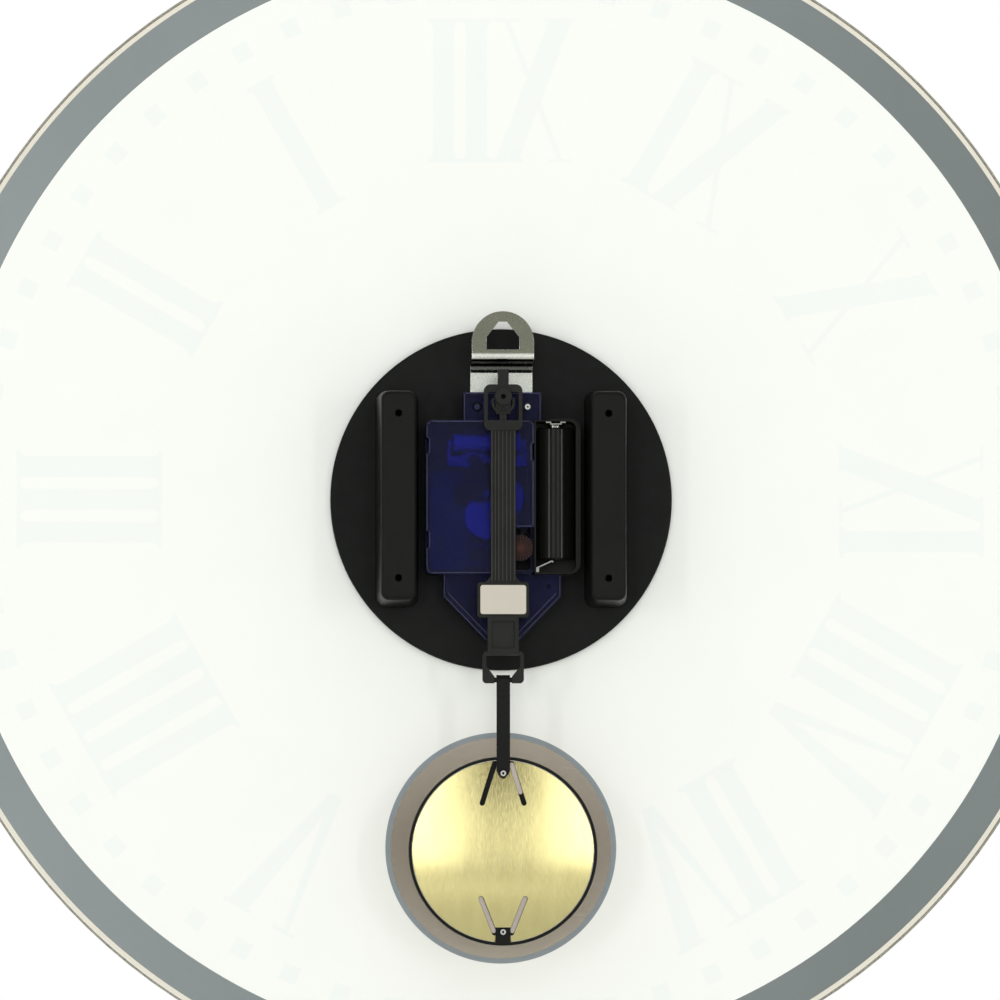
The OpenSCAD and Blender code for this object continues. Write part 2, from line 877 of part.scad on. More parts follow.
// Loop whose lower bar carries the rod's hook; its sides lead the hook to the middle
module arm_loop() {
    slab(arm_front, arm_rear) difference() {
        rounded(-7.5, -68, 7.5, -56.5, 1.4);
        polygon([[-6.2, -57.8], [6.2, -57.8], [6.2, -61.8], [3.2, -65.6],
                 [3.2, -69], [-3.2, -69], [-3.2, -65.6], [-6.2, -61.8]]);
    }
    translate([-3.6, hook_y, hook_z]) rotate([0, 90, 0]) cylinder(r = hook_bar_r, h = 7.2);
}

module drive_magnet() {
    color("#c8c2b8") placed() slab(-9.9, arm_rear) rounded(-8.34, -42.89, 8.34, -32.31, 0.95);
}

// Flat strip with an open hook at the top and a round lower end
module pendulum_rod() {
    hook_in = hook_bar_r + 0.08;
    hook_out = hook_in + rod_t;
    strip_y = hook_y + hook_in;
    color(black) placed() difference() {
        union() {
            across(-rod_w / 2, rod_w / 2) translate([hook_y, hook_z]) difference() {
                circle(hook_out);
                circle(hook_in);
                polygon([[0, 0], [-3, -2], [-3, -4], [3, -4], [3, 0]]);
            }
            slab(strip_y, strip_y + rod_t) {
                block(-rod_w / 2, rod_end + rod_w / 2, rod_w / 2, hook_z + 0.1);
                translate([0, rod_end + rod_w / 2]) circle(rod_w / 2);
            }
        }
        round_bar(1.05, strip_y - 1, strip_y + 2, [0, rivet_top_z]);
    }
}

// Thin black disc with a raised rim; a tab at the bottom holds the rear face down
module bob_core() {
    color(black) placed() difference() {
        union() {
            slab(bob_core_y[0], bob_core_y[1]) translate([0, bob_z]) circle(bob_r - 0.5);
            slab(bob_core_y[0] - 0.6, bob_core_y[1] + 0.6) difference() {
                translate([0, bob_z]) circle(bob_r);
                translate([0, bob_z]) circle(bob_face_r + 0.05);
            }
            slab(bob_core_y[0], -6.6) block(-2.7, bob_z - bob_r + 0.5, 2.7, bob_z - bob_r + 6.5);
        }
        round_bar(1.05, bob_core_y[0] + 0.2, -5, [0, rivet_top_z]);
        round_bar(1.05, bob_core_y[0] + 0.2, -5, [0, rivet_low_z]);
    }
}

// Shallow dome of sheet brass, rim at y = 0 and bulging towards +Y
module dome() {
    big_r = (bob_face_r * bob_face_r + bob_sag * bob_sag) / (2 * bob_sag);
    rotate([-90, 0, 0]) rotate_extrude($fn = 128) {
        intersection() {
            difference() {
                translate([0, bob_sag + bob_sheet - big_r]) circle(big_r, $fn = 1440);
                translate([0, bob_sag - big_r]) circle(big_r, $fn = 1440);
            }
            square([bob_face_r, 4]);
        }
        translate([bob_face_r - 1, 0]) square([1, bob_sheet]);
    }
}

// Two slots that meet the rod's end, and two at the tab
module bob_face_rear() {
    color(brass) placed() difference() {
        translate([0, bob_core_y[1], bob_z]) dome();
        slab(-8.5, -3) {
            for (side = [-1, 1]) {
                face_slot([side * 3.0, bob_z + 32], [side * 7.6, bob_z + 17.4]);
                face_slot([side * 3.1, bob_z - 29.7], [side * 8.0, bob_z - 17.3]);
            }
            block(-2.8, bob_z - bob_r - 1, 2.8, bob_z - bob_r + 6.6);
        }
        round_bar(1.6, -9, -3, [0, rivet_top_z]);
    }
}

// Straight slot with round ends
module face_slot(from, to) {
    slot_w = 1.9;
    run = norm(to - from);
    translate(from) rotate(direction(from, to)) {
        translate([0, -slot_w / 2]) square([run, slot_w]);
        circle(slot_w / 2);
        translate([run, 0]) circle(slot_w / 2);
    }
}

module bob_face_front() {
    color(brass) placed() translate([0, bob_core_y[0], bob_z]) mirror([0, 1, 0]) dome();
}

module bob_rivets() {
    color(bright_steel) placed() {
        rivet(rivet_top_z, hook_y + hook_bar_r + 0.08 + rod_t);
        rivet(rivet_low_z, -6.6);
    }
}

// Shank from the core to the seat, with a hollow head on it
module rivet(z, seat_y) {
    difference() {
        union() {
            round_bar(1.0, bob_core_y[0] + 0.3, seat_y + 0.3, [0, z]);
            round_bar(1.5, seat_y, seat_y + 0.35, [0, z]);
        }
        round_bar(0.5, seat_y - 0.4, seat_y + 1, [0, z]);
    }
}

dial_glass();
foam_tape();
back_plate();
spacer_left();
spacer_right();
spacer_screws();
hanger();
gasket();
movement_base();
movement_cover();
case_screws();
threaded_bushing();
dial_washer();
mounting_nut();
centre_arbor();
minute_hand();
hand_cap();
hour_wheel();
hour_hand();
minute_wheel();
set_knob();
centre_wheel();
third_wheel();
second_wheel();
intermediate_wheel();
rotor();
motor_stator();
motor_bobbin();
motor_winding();
circuit_board();
control_chip();
quartz_crystal();
contact_strips();
positive_contact();
negative_contact();
battery();
battery_cap();
drive_coil_bobbin();
drive_coil_winding();
pivot_post();
pendulum_arm();
drive_magnet();
pendulum_rod();
bob_core();
bob_face_rear();
bob_face_front();
bob_rivets();
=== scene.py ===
import math

import bmesh
import bpy
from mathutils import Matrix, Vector
from mathutils.geometry import delaunay_2d_cdt


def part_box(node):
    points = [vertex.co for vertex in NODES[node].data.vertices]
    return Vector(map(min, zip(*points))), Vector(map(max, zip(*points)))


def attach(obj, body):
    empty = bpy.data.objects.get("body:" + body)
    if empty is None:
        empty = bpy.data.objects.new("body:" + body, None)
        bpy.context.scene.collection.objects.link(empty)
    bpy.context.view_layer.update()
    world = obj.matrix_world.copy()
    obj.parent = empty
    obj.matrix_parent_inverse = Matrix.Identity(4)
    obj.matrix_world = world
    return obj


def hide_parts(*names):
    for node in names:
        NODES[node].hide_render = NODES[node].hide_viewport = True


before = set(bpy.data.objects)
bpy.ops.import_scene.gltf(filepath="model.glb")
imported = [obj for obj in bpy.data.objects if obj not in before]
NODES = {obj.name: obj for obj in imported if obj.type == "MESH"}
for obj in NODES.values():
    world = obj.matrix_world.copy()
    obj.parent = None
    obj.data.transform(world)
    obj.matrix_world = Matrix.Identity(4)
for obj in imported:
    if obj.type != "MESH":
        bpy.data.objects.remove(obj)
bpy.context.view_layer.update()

# ---- Places, in metres, all read from the frame ----

MM = 0.001


def middle(node):
    lo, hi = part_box(node)
    return (lo + hi) / 2


GLASS_LOW, GLASS_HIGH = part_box("dial_glass")
DIAL = middle("dial_glass")
DIAL_R = (GLASS_HIGH.z - GLASS_LOW.z) / 2
GLASS_REAR = GLASS_HIGH.y
BOB = middle("bob_core")
BOB.z = middle("bob_face_front").z


def dial_point(x, y, z):
    """A point given in millimetres around the dial's centre, with y in the frame."""
    return Vector((DIAL.x + x * MM, y * MM, DIAL.z + z * MM))


# ---- Camera ----

VIEW_DISTANCE = 4.0
VIEW_SIDE, VIEW_DROP = 0.035, -0.056
SEEN_WIDTH = 0.366
SENSOR = 36.0


def make_camera():
    """A long lens behind the clock, a little to one side and a little low."""
    target = Vector((DIAL.x + 0.29 * MM, GLASS_REAR, DIAL.z + 0.03 * MM))
    data = bpy.data.cameras.new("camera")
    data.sensor_width = SENSOR
    data.lens = SENSOR * VIEW_DISTANCE / SEEN_WIDTH
    data.clip_start, data.clip_end = 0.1, 50
    cam = bpy.data.objects.new("camera", data)
    bpy.context.scene.collection.objects.link(cam)
    away = Vector((VIEW_SIDE, 1, VIEW_DROP)).normalized()
    cam.location = target + away * VIEW_DISTANCE
    cam.rotation_euler = away.to_track_quat("Z", "Y").to_euler()
    bpy.context.scene.camera = cam


make_camera()

# ---- Node graphs ----


class Graph:
    """A node tree being put together from nothing."""

    def __init__(self, nt):
        self.nt = nt
        nt.nodes.clear()

    def node(self, kind, **values):
        n = self.nt.nodes.new("ShaderNode" + kind)
        for key, value in values.items():
            setattr(n, key, value)
        return n

    def link(self, a, b):
        self.nt.links.new(a, b)

    def feed(self, socket, value):
        """Links a socket's value, or sets it where it is a constant."""
        if isinstance(value, (int, float, tuple)):
            socket.default_value = value
        else:
            self.link(value, socket)

    def span(self, value, low, high, out_low, out_high, smooth=False):
        n = self.node("MapRange", clamp=True)
        if smooth:
            n.interpolation_type = "SMOOTHSTEP"
        for key, v in zip(("From Min", "From Max", "To Min", "To Max"), (low, high, out_low, out_high)):
            n.inputs[key].default_value = v
        self.link(value, n.inputs["Value"])
        return n.outputs[0]

    def math(self, kind, a, b=None):
        n = self.node("Math", operation=kind)
        self.feed(n.inputs[0], a)
        if b is not None:
            self.feed(n.inputs[1], b)
        return n.outputs[0]


# ---- Light, backdrop and floor ----

FLOOR_DROP = 0.06
AMBIENT, SKY_GAIN = 0.42, 0.6
PANEL_MIDDLE, GAP_FOOT = -0.035, 0.22


def softbox(name, azimuth, height, size, power, distance=2.0):
    """A rectangular lamp facing the dial. Azimuth is measured from +Y towards +X."""
    data = bpy.data.lights.new(name, "AREA")
    data.shape, data.size, data.size_y, data.energy = "RECTANGLE", size[0], size[1], power
    lamp = bpy.data.objects.new(name, data)
    lamp.visible_camera = False
    bpy.context.scene.collection.objects.link(lamp)
    turn = math.radians(azimuth)
    place = Vector((math.sin(turn), math.cos(turn), 0)) * distance
    lamp.location = DIAL + place + Vector((0, 0, height))
    aim = lamp.location - DIAL
    aim.z = 0
    lamp.rotation_euler = aim.to_track_quat("Z", "Y").to_euler()
    return lamp


def make_lamps():
    """A narrow strip and a wide softbox on each side, and two flat fills that leave no highlights."""
    for side in (-1, 1):
        softbox(f"strip_{side}", side * 38, 0.10, (0.12, 0.54), 2.6)
        softbox(f"front_{side}", 180 - side * 42, 0.4, (0.9, 0.9), 8)
    for name, azimuth, power in (("flat_fill", 2, 20.5), ("front_fill", 178, 28)):
        fill = softbox(name, azimuth, -0.06, (1.2, 1.2), power, 2.5)
        fill.visible_glossy = False


def make_sky():
    """A white backdrop with soft light, and dimmed panels that only mirror-like pieces see."""
    bpy.context.scene.view_settings.view_transform = "Standard"
    world = bpy.data.worlds.new("studio")
    bpy.context.scene.world = world
    world.cycles.sampling_method = "NONE"
    world.use_nodes = True
    s = Graph(world.node_tree)
    split = s.node("SeparateXYZ")
    s.link(s.node("TexCoord").outputs["Generated"], split.inputs[0])
    x, y, z = split.outputs
    behind = s.span(y, -0.15, 0.25, 0, 1)
    depth = s.math("MAXIMUM", y, 0.05)
    across = s.math("ABSOLUTE", s.math("SUBTRACT", s.math("DIVIDE", x, depth), PANEL_MIDDLE))
    height = s.math("DIVIDE", z, depth)
    # Two bright panels with a dim gap that opens upwards, dimmer below the horizon
    panels = s.math("MULTIPLY", s.span(across, 0.04, 0.20, 0.74, 2.3, True),
                    s.span(across, 0.30, 0.50, 1, 0.12, True))
    upper = s.math("MULTIPLY", panels, s.span(height, 0.35, 0.6, 1, 0.15, True))
    over = s.math("MINIMUM", s.math("SUBTRACT", height, GAP_FOOT), 0.0)
    reach = s.math("SQRT", s.math("ADD", s.math("MULTIPLY", across, across), s.math("MULTIPLY", over, over)))
    gap = s.span(reach, 0.02, 0.145, 0.0, 1.0)
    lower = s.span(height, -0.2, -0.04, 0.42, 0.56)
    is_upper = s.span(height, -0.03, -0.01, 0, 1, True)
    seen_rear = s.math("ADD", s.math("MULTIPLY", is_upper, s.math("MULTIPLY", upper, gap)),
                       s.math("MULTIPLY", s.math("SUBTRACT", 1.0, is_upper), lower))
    mirrored = s.math("ADD", s.math("MULTIPLY", behind, seen_rear), s.math("SUBTRACT", 1.0, behind))
    path = s.node("LightPath").outputs
    sky = s.math("ADD", s.math("MULTIPLY", s.math("MAXIMUM", z, 0.0), SKY_GAIN), AMBIENT)
    soft = s.math("MULTIPLY", path["Is Diffuse Ray"], sky)
    plain = s.math("MAXIMUM", path["Is Camera Ray"], path["Is Transmission Ray"])
    sharp = s.math("MULTIPLY", path["Is Glossy Ray"], mirrored)
    shade = s.node("Background")
    shade.inputs["Color"].default_value = (1, 1, 1, 1)
    s.link(s.math("MAXIMUM", plain, s.math("MAXIMUM", soft, sharp)), shade.inputs["Strength"])
    s.link(shade.outputs[0], s.node("OutputWorld").inputs[0])


make_lamps()
make_sky()

# ---- Material building ----


def srgb(r, g, b):
    """A colour given as 0 to 255 display values, in linear light."""
    def line(c):
        c /= 255
        return c / 12.92 if c <= 0.04045 else ((c + 0.055) / 1.055) ** 2.4
    return (line(r), line(g), line(b), 1.0)


# Places of the colour sockets on a Mix node
MIX_FACTOR, MIX_FIRST, MIX_SECOND, MIX_RESULT = 0, 6, 7, 2


class Shader(Graph):
    """A node material being put together, with object coordinates in metres."""

    def __init__(self, name):
        self.mat = bpy.data.materials.new(name)
        self.mat.use_nodes = True
        super().__init__(self.mat.node_tree)
        self.out = self.node("OutputMaterial")
        self.coords = self.node("TexCoord").outputs["Object"]

    def mapped(self, scale=(1, 1, 1), turn=(0, 0, 0)):
        n = self.node("Mapping")
        n.inputs["Rotation"].default_value = turn
        n.inputs["Scale"].default_value = scale
        self.link(self.coords, n.inputs["Vector"])
        return n.outputs[0]

    def noise(self, scale, detail=3, stretch=(1, 1, 1)):
        n = self.node("TexNoise")
        n.inputs["Scale"].default_value = scale
        n.inputs["Detail"].default_value = detail
        n.inputs["Roughness"].default_value = 0.55
        self.link(self.mapped(stretch), n.inputs["Vector"])
        return n.outputs["Fac"]

    def ramp(self, value, stops):
        n = self.node("ValToRGB")
        while len(n.color_ramp.elements) < len(stops):
            n.color_ramp.elements.new(0.5)
        for element, (place, colour) in zip(n.color_ramp.elements, stops):
            element.position = place
            element.color = colour
        self.link(value, n.inputs[0])
        return n.outputs[0]

    def blend_colour(self, factor, a, b, kind="MIX"):
        n = self.node("Mix", data_type="RGBA", blend_type=kind)
        for place, v in ((MIX_FACTOR, factor), (MIX_FIRST, a), (MIX_SECOND, b)):
            self.feed(n.inputs[place], v)
        return n.outputs[MIX_RESULT]

    def dimmed(self, tone, value, least, ends=(0.3, 0.7)):
        """The tone, down to its least share where a value from 0 to 1 is low."""
        share = self.ramp(value, [(ends[0], (least, least, least, 1)), (ends[1], (1, 1, 1, 1))])
        return self.blend_colour(1.0, tone, share, "MULTIPLY")

    def axis(self, name):
        n = self.node("SeparateXYZ")
        self.link(self.coords, n.inputs[0])
        return n.outputs[name]

    def away_from(self, place, fold=False):
        """Distance across Y from a line at (x, z); fold mirrors -X onto +X."""
        flat = self.node("VectorMath", operation="MULTIPLY")
        self.link(self.coords, flat.inputs[0])
        flat.inputs[1].default_value = (1, 0, 1)
        last = flat
        if fold:
            last = self.node("VectorMath", operation="ABSOLUTE")
            self.link(flat.outputs[0], last.inputs[0])
            place = (place[0], -place[1])
        away = self.node("VectorMath", operation="DISTANCE")
        self.link(last.outputs[0], away.inputs[0])
        away.inputs[1].default_value = (place[0], 0, place[1])
        return away.outputs["Value"]

    def bumped(self, height, depth, strength=1.0, bevel=0.0):
        n = self.node("Bump")
        n.inputs["Strength"].default_value = strength
        n.inputs["Distance"].default_value = depth
        self.link(height, n.inputs["Height"])
        if bevel:
            self.link(self.bevel(bevel), n.inputs["Normal"])
        return n.outputs[0]

    def bevel(self, radius):
        n = self.node("Bevel", samples=4)
        n.inputs["Radius"].default_value = radius
        return n.outputs[0]

    def lit_edge_mask(self, radius):
        """1 near the piece's sharp edges and 0 away from them; it places painted highlights on those edges."""
        facing = self.node("VectorMath", operation="DOT_PRODUCT")
        self.link(self.bevel(radius), facing.inputs[0])
        self.link(self.node("NewGeometry").outputs["Normal"], facing.inputs[1])
        return self.span(facing.outputs["Value"], 0.80, 0.97, 1, 0, True)

    def principled(self, colour, rough, normal=None, **values):
        n = self.node("BsdfPrincipled")
        self.feed(n.inputs["Base Color"], colour)
        self.feed(n.inputs["Roughness"], rough)
        for key, v in values.items():
            n.inputs[key.replace("_", " ")].default_value = v
        if normal is not None:
            self.link(normal, n.inputs["Normal"])
        return n.outputs[0]

    def mix(self, factor, a, b):
        n = self.node("MixShader")
        self.feed(n.inputs[0], factor)
        self.link(a, n.inputs[1])
        self.link(b, n.inputs[2])
        return n.outputs[0]

    def done(self, surface):
        self.link(surface, self.out.inputs["Surface"])
        return self.mat


def shades(colour, spread):
    """Two colours a little darker and lighter than one, as ramp stops."""
    low = tuple(c * (1 - spread) for c in colour[:3]) + (1,)
    high = tuple(min(1, c * (1 + spread)) for c in colour[:3]) + (1,)
    return [(0.3, low), (0.7, high)]


def plastic(name, colour, rough=0.42, grain=2200, depth=0.02, spread=0.10, bevel=0.2, specular=0.12):
    """Moulded plastic with a fine grain, soft edges and faint cloudy variation."""
    s = Shader(name)
    cloud = s.noise(60, 3)
    fine = s.noise(grain, 2)
    tint = s.ramp(cloud, shades(colour, spread))
    tone = s.dimmed(tint, s.span(fine, 0.35, 0.65, 0.93, 1.07), 0.93, (0.9, 1.0))
    shine = s.span(s.noise(260, 4), 0.3, 0.7, rough - 0.05, rough + 0.06)
    normal = s.bumped(fine, depth * MM, 0.6, bevel * MM)
    return s.done(s.principled(tone, shine, normal, Specular_IOR_Level=specular))


def metal(name, colour, rough, brush=None, depth=0.004, bevel=0.12):
    """Sheet metal, either plain or with lines along the brush axis."""
    s = Shader(name)
    stretch = {"x": (20, 5200, 5200), "y": (5200, 20, 5200), None: (900, 900, 900)}[brush]
    lines = s.noise(1.0, 3, stretch)
    wide = s.noise(0.12, 2, stretch)
    tone = s.dimmed(s.ramp(s.noise(55, 4), shades(colour, 0.08)), lines, 0.88)
    shine = s.span(s.math("ADD", s.math("MULTIPLY", lines, 0.6), s.math("MULTIPLY", wide, 0.4)),
                   0.3, 0.7, rough - 0.06, rough + 0.08)
    return s.done(s.principled(tone, shine, s.bumped(lines, depth * MM, 0.5, bevel * MM), Metallic=1.0))


def clear_glass():
    """Float glass: clear faces with a mirror share, and a greenish ground rim."""
    s = Shader("float_glass")
    rim = s.span(s.away_from((DIAL.x, DIAL.z)), DIAL_R - 1.0 * MM, DIAL_R - 0.7 * MM, 0, 1)
    smear = s.noise(14, 3)
    clear = s.node("BsdfTransparent")
    clear.inputs["Color"].default_value = (0.965, 0.98, 0.975, 1)
    gloss = s.node("BsdfGlossy")
    s.link(s.span(smear, 0.3, 0.7, 0.01, 0.05), gloss.inputs["Roughness"])
    fresnel = s.node("Fresnel")
    fresnel.inputs["IOR"].default_value = 1.45
    sheet = s.mix(fresnel.outputs[0], clear.outputs[0], gloss.outputs[0])
    ground = s.noise(900, 3)
    edge_colour = s.ramp(ground, [(0.3, srgb(132, 128, 112)), (0.7, srgb(168, 166, 148))])
    edge = s.principled(edge_colour, s.span(ground, 0.3, 0.7, 0.22, 0.4),
                        s.bumped(ground, 0.01 * MM, 0.5, 0.25 * MM), IOR=1.5)
    return s.done(s.mix(rim, sheet, edge))


def paint(name, colour, rough, spread):
    """Screen-printed enamel: nearly even, with a fine tooth and slow variation."""
    s = Shader(name)
    tooth = s.noise(1500, 2)
    tone = s.ramp(s.noise(30, 3), shades(colour, spread))
    return s.done(s.principled(tone, s.span(tooth, 0.3, 0.7, rough - 0.04, rough + 0.06),
                               s.bumped(tooth, 0.004 * MM, 0.4)))


def ring_enamel():
    """Grey enamel of the outer ring, lighter towards +X."""
    s = Shader("ring_enamel")
    drift = s.math("ADD", s.span(s.axis("X"), -0.21, 0.21, 0, 0.75), s.span(s.noise(9, 3), 0.3, 0.7, 0, 0.25))
    tone = s.ramp(drift, [(0.0, srgb(110, 118, 117)), (1.0, srgb(140, 149, 149))])
    tooth = s.noise(1500, 2)
    return s.done(s.principled(tone, s.span(tooth, 0.3, 0.7, 0.5, 0.6), s.bumped(tooth, 0.004 * MM, 0.4)))


def smoked_film():
    """Smoked translucent print of the window, paler towards its top and bottom."""
    s = Shader("smoked_film")
    height = s.math("ABSOLUTE", s.math("SUBTRACT", s.axis("Z"), BOB.z + 4 * MM))
    pale = s.span(height, 4 * MM, 44 * MM, 0, 0.8)
    drift = s.span(s.axis("X"), -0.045, 0.045, 0.2, 0)
    tone = s.ramp(s.math("ADD", pale, drift), [(0.0, srgb(116, 102, 86)), (1.0, srgb(184, 177, 163))])
    tone = s.dimmed(tone, s.noise(22, 2), 0.97)
    clear = s.node("BsdfTransparent")
    clear.inputs["Color"].default_value = (0.72, 0.68, 0.62, 1)
    solid = s.principled(tone, s.span(s.noise(800, 2), 0.3, 0.7, 0.28, 0.38),
                         s.bumped(s.noise(1100, 2), 0.003 * MM, 0.3))
    return s.done(s.mix(0.4, clear.outputs[0], solid))


def blue_cover():
    """Dark blue translucent plastic that lets white pieces glow through, blurred, with a paler tone painted on
    its edges as a highlight.
    """
    s = Shader("blue_translucent")
    texture = s.noise(1400, 2)
    cloud = s.noise(70, 3)
    normal = s.bumped(texture, 0.012 * MM, 0.5, 0.35 * MM)
    edge = s.lit_edge_mask(0.35 * MM)
    body = s.ramp(cloud, [(0.3, srgb(38, 40, 52)), (0.7, srgb(46, 48, 62))])
    # Paler edge tone: a painted highlight on the cover's edges
    pale = s.ramp(texture, [(0.3, srgb(74, 76, 120)), (0.7, srgb(100, 102, 152))])
    skin = s.principled(s.blend_colour(edge, body, pale), s.span(texture, 0.3, 0.7, 0.22, 0.34), normal,
                        Specular_IOR_Level=0.25)
    blurred = s.node("BsdfRefraction")
    blurred.inputs["Color"].default_value = (0.28, 0.33, 0.84, 1)
    blurred.inputs["Roughness"].default_value = 0.38
    blurred.inputs["IOR"].default_value = 1.18
    passing = s.node("BsdfTransparent")
    passing.inputs["Color"].default_value = (0.38, 0.41, 0.80, 1)
    path = s.node("LightPath")
    through = s.mix(path.outputs["Is Shadow Ray"], blurred.outputs[0], passing.outputs[0])
    return s.done(s.mix(s.span(edge, 0, 1, 0.26, 0.8), through, skin))


def wound_coil(name, axis):
    """Fine enamelled copper wire in layers; axis is the coil's own axis."""
    s = Shader(name)
    wave = s.node("TexWave", bands_direction=axis, wave_type="BANDS")
    wave.inputs["Scale"].default_value = 1200
    wave.inputs["Distortion"].default_value = 0.6
    wave.inputs["Detail"].default_value = 1
    s.link(s.coords, wave.inputs["Vector"])
    tone = s.ramp(wave.outputs["Fac"], [(0.1, srgb(92, 40, 20)), (0.9, srgb(196, 110, 62))])
    return s.done(s.principled(tone, s.span(wave.outputs["Fac"], 0, 1, 0.3, 0.45),
                               s.bumped(wave.outputs["Fac"], 0.03 * MM, 0.8), Metallic=0.75))


def circuit_green():
    """Solder-masked board with faint tracks and lighter pads."""
    s = Shader("circuit_green")
    brick = s.node("TexBrick")
    brick.inputs["Scale"].default_value = 210
    brick.inputs["Mortar Size"].default_value = 0.06
    brick.inputs["Color1"].default_value = srgb(16, 66, 44)
    brick.inputs["Color2"].default_value = srgb(20, 80, 52)
    brick.inputs["Mortar"].default_value = srgb(60, 130, 84)
    s.link(s.mapped(turn=(math.pi / 2, 0, 0)), brick.inputs["Vector"])
    return s.done(s.principled(brick.outputs["Color"], s.span(s.noise(300, 2), 0.3, 0.7, 0.25, 0.4),
                               s.bumped(brick.outputs["Fac"], 0.03 * MM, 0.5)))


def battery_sleeve():
    """Glossy dark shrink sleeve with a seam's fine length lines and scuffs."""
    s = Shader("battery_sleeve")
    lines = s.noise(1.0, 2, (1500, 1500, 12))
    scuff = s.noise(420, 5)
    tone = s.ramp(lines, [(0.3, srgb(13, 14, 12)), (0.7, srgb(20, 21, 18))])
    rough = s.span(scuff, 0.45, 0.75, 0.13, 0.26)
    return s.done(s.principled(tone, rough, s.bumped(lines, 0.006 * MM, 0.3, 0.3 * MM),
                               Specular_IOR_Level=0.15))


def nickel_sheet():
    """Nickel-plated sheet painted with light and shade by height: a bright root, painted shade in the creases
    at the step, a painted highlight on the bend and a loop painted darker.
    """
    s = Shader("nickel_sheet")
    grain = s.noise(1500, 3)
    bright, shine, black = srgb(216, 220, 211), srgb(240, 242, 233), srgb(20, 21, 20)
    grey, loop_shade = srgb(112, 114, 109), srgb(128, 130, 115)
    # Heights above the dial's centre where each tone of painted light and shade holds
    bands = [(44.0, bright), (46.3, bright), (46.4, black), (47.4, black), (47.5, grey), (48.5, grey),
             (48.7, black), (50.2, black), (50.5, shine), (51.8, shine), (52.6, loop_shade), (58.0, loop_shade)]
    low, high = bands[0][0], bands[-1][0]
    height = s.span(s.axis("Z"), DIAL.z + low * MM, DIAL.z + high * MM, 0, 1)
    tone = s.ramp(height, [((z - low) / (high - low), colour) for z, colour in bands])
    tone = s.dimmed(s.dimmed(tone, s.noise(90, 3), 0.90), grain, 0.93)
    # Painted highlight along the sheet's edges
    tone = s.blend_colour(s.lit_edge_mask(0.35 * MM), tone, shine)
    return s.done(s.principled(tone, s.span(grain, 0.3, 0.7, 0.2, 0.3),
                               s.bumped(grain, 0.0008 * MM, 0.5, 0.3 * MM), Metallic=1.0))


def brushed_brass():
    """Lacquered brass sheet with short, fine upright brushing."""
    s = Shader("brushed_brass")
    strokes = s.noise(1.0, 2, (3600, 3600, 420))
    slow = s.noise(1.0, 2, (240, 240, 60))
    tone = s.dimmed(s.ramp(slow, [(0.3, srgb(238, 226, 160)), (0.7, srgb(246, 235, 168))]),
                    strokes, 0.90, (0.25, 0.75))
    sheet = s.principled(tone, s.span(strokes, 0.3, 0.7, 0.13, 0.19), s.bumped(strokes, 0.0007 * MM, 0.6),
                         Metallic=1.0, Anisotropic=0.5)
    across = s.node("VectorTransform", vector_type="VECTOR", convert_from="OBJECT", convert_to="WORLD")
    across.inputs[0].default_value = (1, 0, 0)
    s.link(across.outputs[0], sheet.node.inputs["Tangent"])
    return s.done(sheet)


def rivet_steel():
    """Semi-tubular rivets painted with light and shade: a painted highlight on the rolled ring between painted
    shade in the bore and at the foot.
    """
    s = Shader("rivet_steel")
    lo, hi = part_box("bob_rivets")
    half = (hi.x - lo.x) / 2
    gaps = [s.away_from(((lo.x + hi.x) / 2, z)) for z in (lo.z + half, hi.z - half)]
    r = s.span(s.math("MINIMUM", *gaps), 0, 1.5 * MM, 0, 1)
    dark, bright = srgb(26, 27, 27), srgb(214, 214, 210)
    # Painted shade in the bore and at the foot, painted highlight on the rolled ring
    rings = s.ramp(r, [(0.0, dark), (0.26, dark), (0.36, bright), (0.62, bright), (0.74, dark)])
    grain = s.noise(1200, 3)
    return s.done(s.principled(s.dimmed(rings, grain, 0.88), s.span(grain, 0.3, 0.7, 0.16, 0.26),
                               s.bumped(grain, 0.003 * MM, 0.5, 0.1 * MM), Metallic=1.0))


def case_screw():
    """Zinc-plated cross screw with painted shade in its cross and round its seat; the one on +X is darker."""
    s = Shader("screw_zinc")
    lo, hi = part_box("case_screws")
    seat = (hi.z - lo.z) / 2
    r = s.span(s.away_from((hi.x - seat, (lo.z + hi.z) / 2), fold=True), 0, 2 * MM, 0, 1)
    grain = s.noise(900, 3)
    dark = s.span(s.axis("X"), -1 * MM, 1 * MM, 0, 1)
    shade, zinc, black = srgb(30, 32, 46), srgb(208, 209, 204), srgb(52, 56, 78)
    # Painted shade in the cross and round the seat
    plated = s.ramp(r, [(0.0, shade), (0.14, shade), (0.2, zinc), (0.46, zinc), (0.54, shade)])
    darker_screw_tone = s.ramp(r, [(0.0, black), (0.5, black), (0.58, srgb(16, 16, 22))])
    tone = s.blend_colour(dark, plated, darker_screw_tone)
    return s.done(s.principled(tone, s.span(grain, 0.3, 0.7, 0.2, 0.32),
                               s.bumped(grain, 0.004 * MM, 0.5, 0.12 * MM), Metallic=1.0))


def ribbed_knob():
    """Dark brown knob, a redder brown on the tops of its raised ribs."""
    s = Shader("knob_plastic")
    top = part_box("set_knob")[1].y
    grain = s.noise(3200, 2)
    rib = s.span(s.axis("Y"), top - 0.40 * MM, top - 0.25 * MM, 0, 1)
    low = s.ramp(grain, [(0.3, srgb(14, 10, 9)), (0.7, srgb(22, 15, 13))])
    high = s.ramp(grain, [(0.3, srgb(54, 28, 23)), (0.7, srgb(70, 38, 31))])
    return s.done(s.principled(s.blend_colour(rib, low, high), s.span(grain, 0.3, 0.7, 0.32, 0.42),
                               s.bumped(grain, 0.008 * MM, 0.5, 0.05 * MM), Specular_IOR_Level=0.2))


